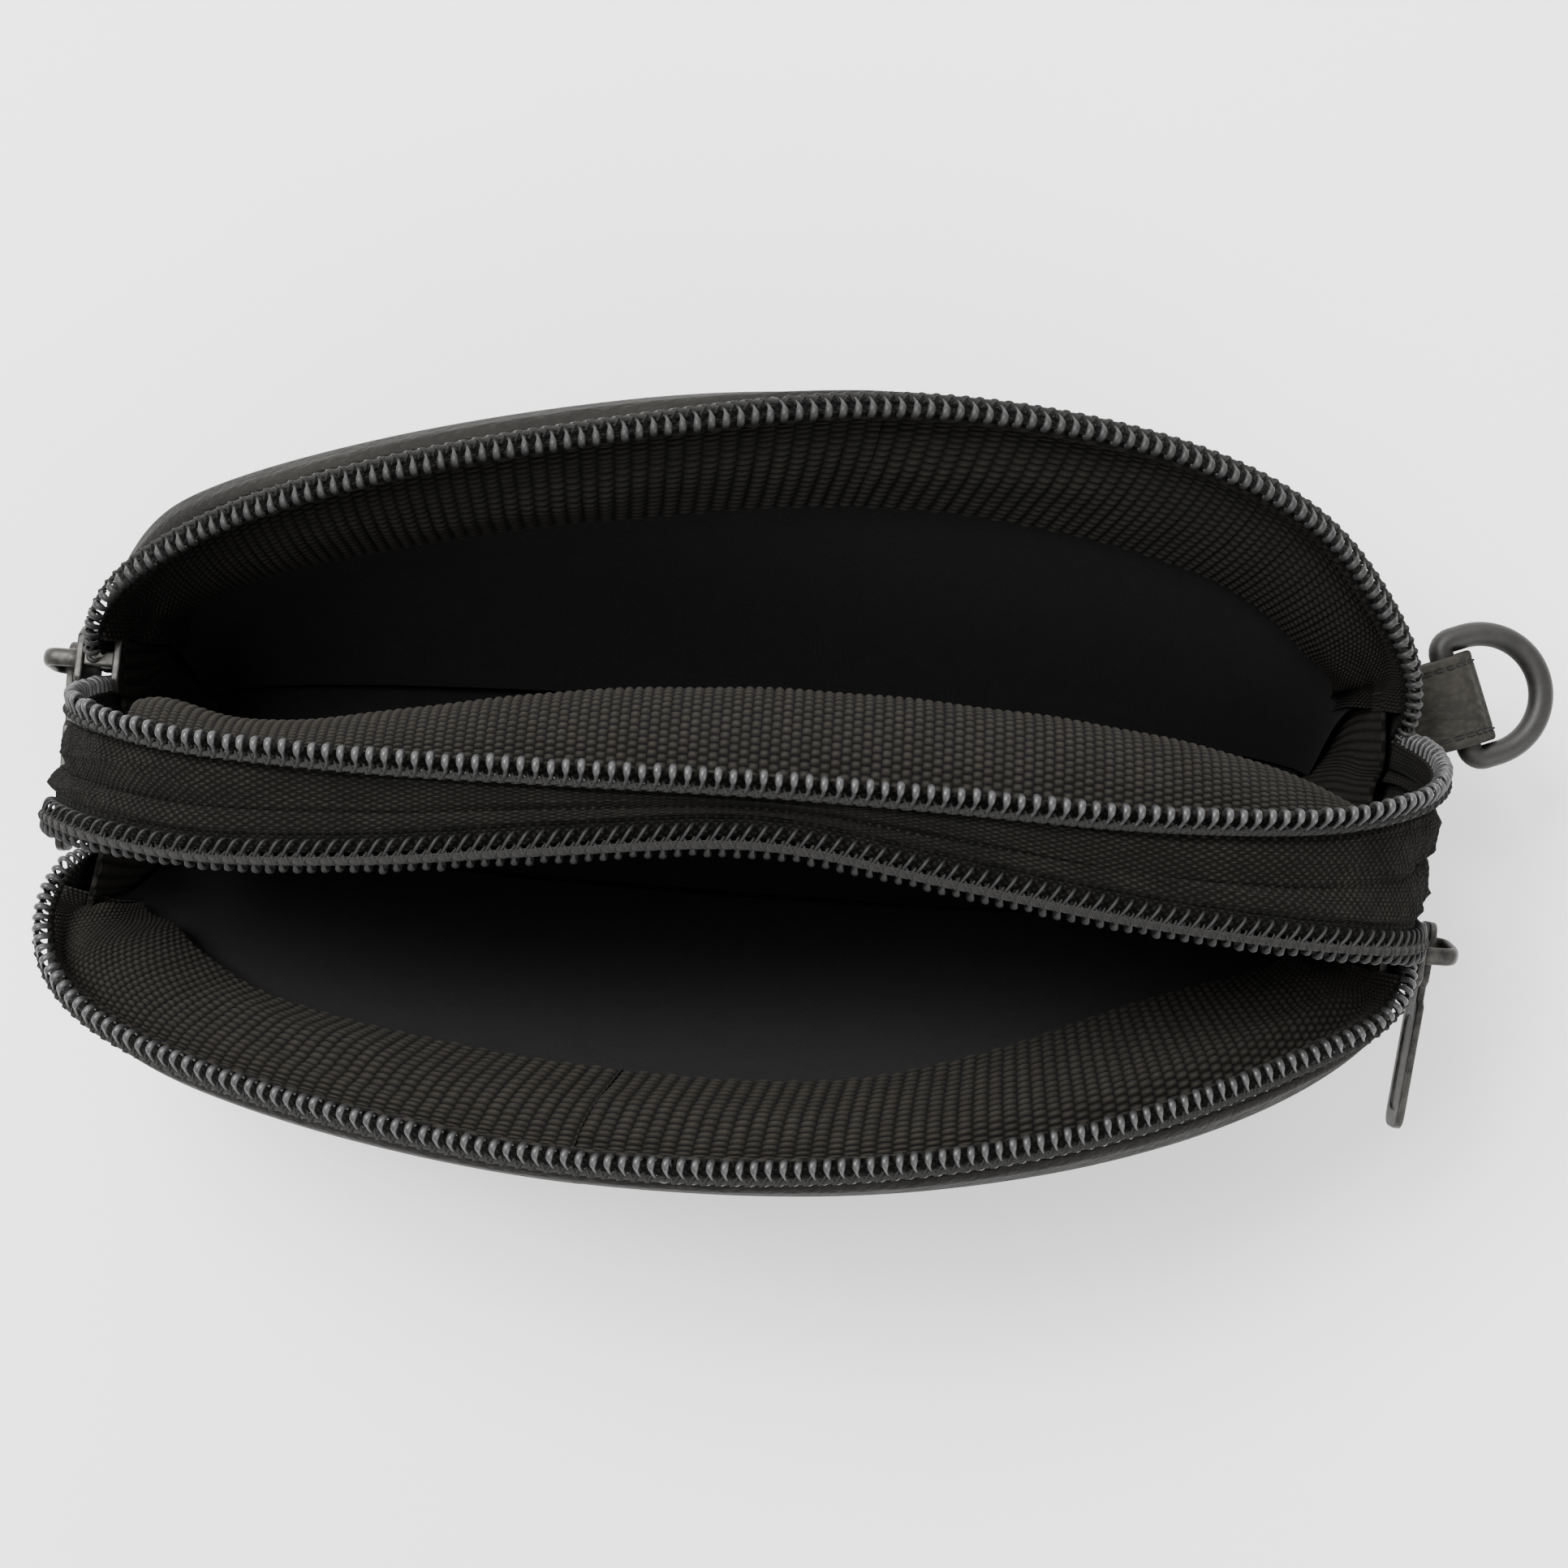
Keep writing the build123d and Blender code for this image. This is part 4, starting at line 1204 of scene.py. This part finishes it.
def ring_piece():
    bow, corner, leg = 8.9, 1.9, 3.8
    path = [(0, y) for y in np.linspace(-(bow - corner), bow - corner, 12)]
    path += [(corner - corner * math.cos(t), bow - corner + corner * math.sin(t))
             for t in np.linspace(0.15, math.pi / 2, 7)]
    path += [(leg + bow * math.sin(t), bow * math.cos(t)) for t in np.linspace(0, math.pi, 50)]
    path += [(corner - corner * math.sin(t), -bow + corner - corner * math.cos(t))
             for t in np.linspace(0, math.pi / 2 - 0.15, 7)]
    path = np.array(path)
    turn = math.radians(RING_TURN)
    turned = path @ np.array([[math.cos(turn), math.sin(turn)], [-math.sin(turn), math.cos(turn)]])
    points = np.hstack([turned, np.zeros((len(path), 1))]) + np.array(RING_PLACE)
    loop = np.vstack([points[-1:], points, points[:1]])
    way = unit(loop[2:] - loop[:-2])
    up = np.tile([0.0, 0, 1.0], (len(points), 1))
    side_axis = np.cross(way, up)
    grid = tube_grid(points, side_axis * WIRE_RADIUS, up * WIRE_RADIUS, RING_SIDES)
    index = np.arange(len(points) * RING_SIDES).reshape(-1, RING_SIDES)
    index = np.vstack([index, index[:1]])
    faces = quads(np.hstack([index, index[:, :1]]))
    ring = finish_mesh("d_ring_wire", grid.reshape(-1, 3), faces)
    put_on(ring, RING, "d_ring", "d_ring")


def tab_piece():
    turn = math.radians(RING_TURN)
    c, s = math.cos(turn), math.sin(turn)

    def surface(u, v):
        q = along(TAB_SECTION, u)
        y = (v - 0.5) * TAB_WIDTH * (1 - 0.02 * np.cos(u * 6.28))
        return vec(TAB_ROOT[0] + q[..., 0] * c - y * s, TAB_ROOT[1] + q[..., 0] * s + y * c,
                   TAB_ROOT[2] + q[..., 1])

    def away(u, v):
        q = along(TAB_SECTION, u) - np.array([6.9, 0])
        return towards(normal(surface, u, v), vec(q[..., 0] * c, q[..., 0] * s, q[..., 1]))

    def worked(a, b):
        edge = np.minimum(b, TAB_WIDTH - b)
        return -0.18 * np.exp(-((edge - SEAM_INSET) / 0.25) ** 2) + 0.05 * np.sin(a * 0.9)

    strap = skin("tab_strap", surface, away, 27.0, TAB_WIDTH, 90, 50, -0.55, 0.6, puff=worked)
    put_on(strap, LEATHER_TAB, "core", "d_ring_tab")
    threads = []
    rise = (0.52 + 0.12 * np.sin(np.linspace(0, np.pi, 6)))[:, None]
    for edge in (SEAM_INSET, TAB_WIDTH - SEAM_INSET):
        for k in range(11):
            at = 0.03 + k * 0.0415
            u = np.linspace(at, at + 0.028, 6)
            v = np.full(6, edge / TAB_WIDTH)
            points = surface(u, v) + away(u, v) * rise
            threads.append(tube("tab_thread", points, away(u, v), 0.16, 0.2, sides=6))
    put_on(join("tab_stitches", threads), THREAD, "core")


# ---- build ------------------------------------------------------------------------------------

for label, side in SIDES:
    panel_pieces(label, side)
    zip_pieces(label, side)
    partition_pieces(label, side)
    end_facing(label, side, -1)
    end_facing(label, side, 1)
    slider_pieces(label, side)
gusset_cloth()
ring_piece()
tab_piece()

SHOWN_CAD_NODES = (
    ("base_leather", LEATHER_OBJ), ("base_board", FOAM), ("partition_board", FOAM),
    ("rear_panel_board", FOAM), ("front_panel_board", FOAM), ("zip_end_stops", ZINC),
)
for name, material in SHOWN_CAD_NODES:
    nodes[name].data.materials.clear()
    nodes[name].data.materials.append(material)


# ---- floor, light and camera --------------------------------------------------------------------

def plain(name, colour, rough):
    m = Nodes(name, "Object")
    grain = m.noise(0.02, 2, 0.5)
    shade = m.ramp(grain, [(0.3, tuple(c * 0.985 for c in colour)), (0.7, colour)])
    return m.done(shade, rough, Specular_IOR_Level=0.2)


bpy.ops.mesh.primitive_plane_add(size=8, location=(0, 0, -0.0005))
floor = bpy.context.object
floor.name = "floor"
floor.data.materials.append(plain("pale_floor", (0.93, 0.93, 0.93), 0.8))

world = bpy.data.worlds.new("studio")
bpy.context.scene.world = world
world.use_nodes = True
background = world.node_tree.nodes["Background"]
background.inputs["Color"].default_value = (1.0, 1.0, 1.0, 1)
background.inputs["Strength"].default_value = 1.35


def area(name, place, target, size, power):
    light = bpy.data.lights.new(name, "AREA")
    light.shape = "RECTANGLE"
    light.size, light.size_y = size
    light.energy = power
    holder = linked(name, light)
    holder.location = place
    holder.rotation_euler = (Vector(target) - Vector(place)).to_track_quat("-Z", "Y").to_euler()


# Place, target and size in metres, power in watts
area("key", (-0.35, 0.30, 0.75), (0, 0, 0.05), (0.5, 0.35), 17.0)
area("fill", (0.55, -0.45, 0.55), (0, 0, 0.04), (0.6, 0.6), 5.4)
area("back", (0.1, 0.9, 0.5), (0, 0, 0.04), (0.8, 0.4), 4.8)

CAMERA_PLACE = (0.0046, 0.0029, 0.400)
CAMERA_TURN = math.atan2(0.0732, 0.9973)    # the pouch lies a little askew in the photograph
camera = bpy.data.cameras.new("camera")
camera.lens = 57.8
camera.sensor_width = 36
camera.clip_start = 0.01
view = linked("camera", camera)
view.location = CAMERA_PLACE
view.rotation_euler = (0, 0, CAMERA_TURN)
bpy.context.scene.camera = view
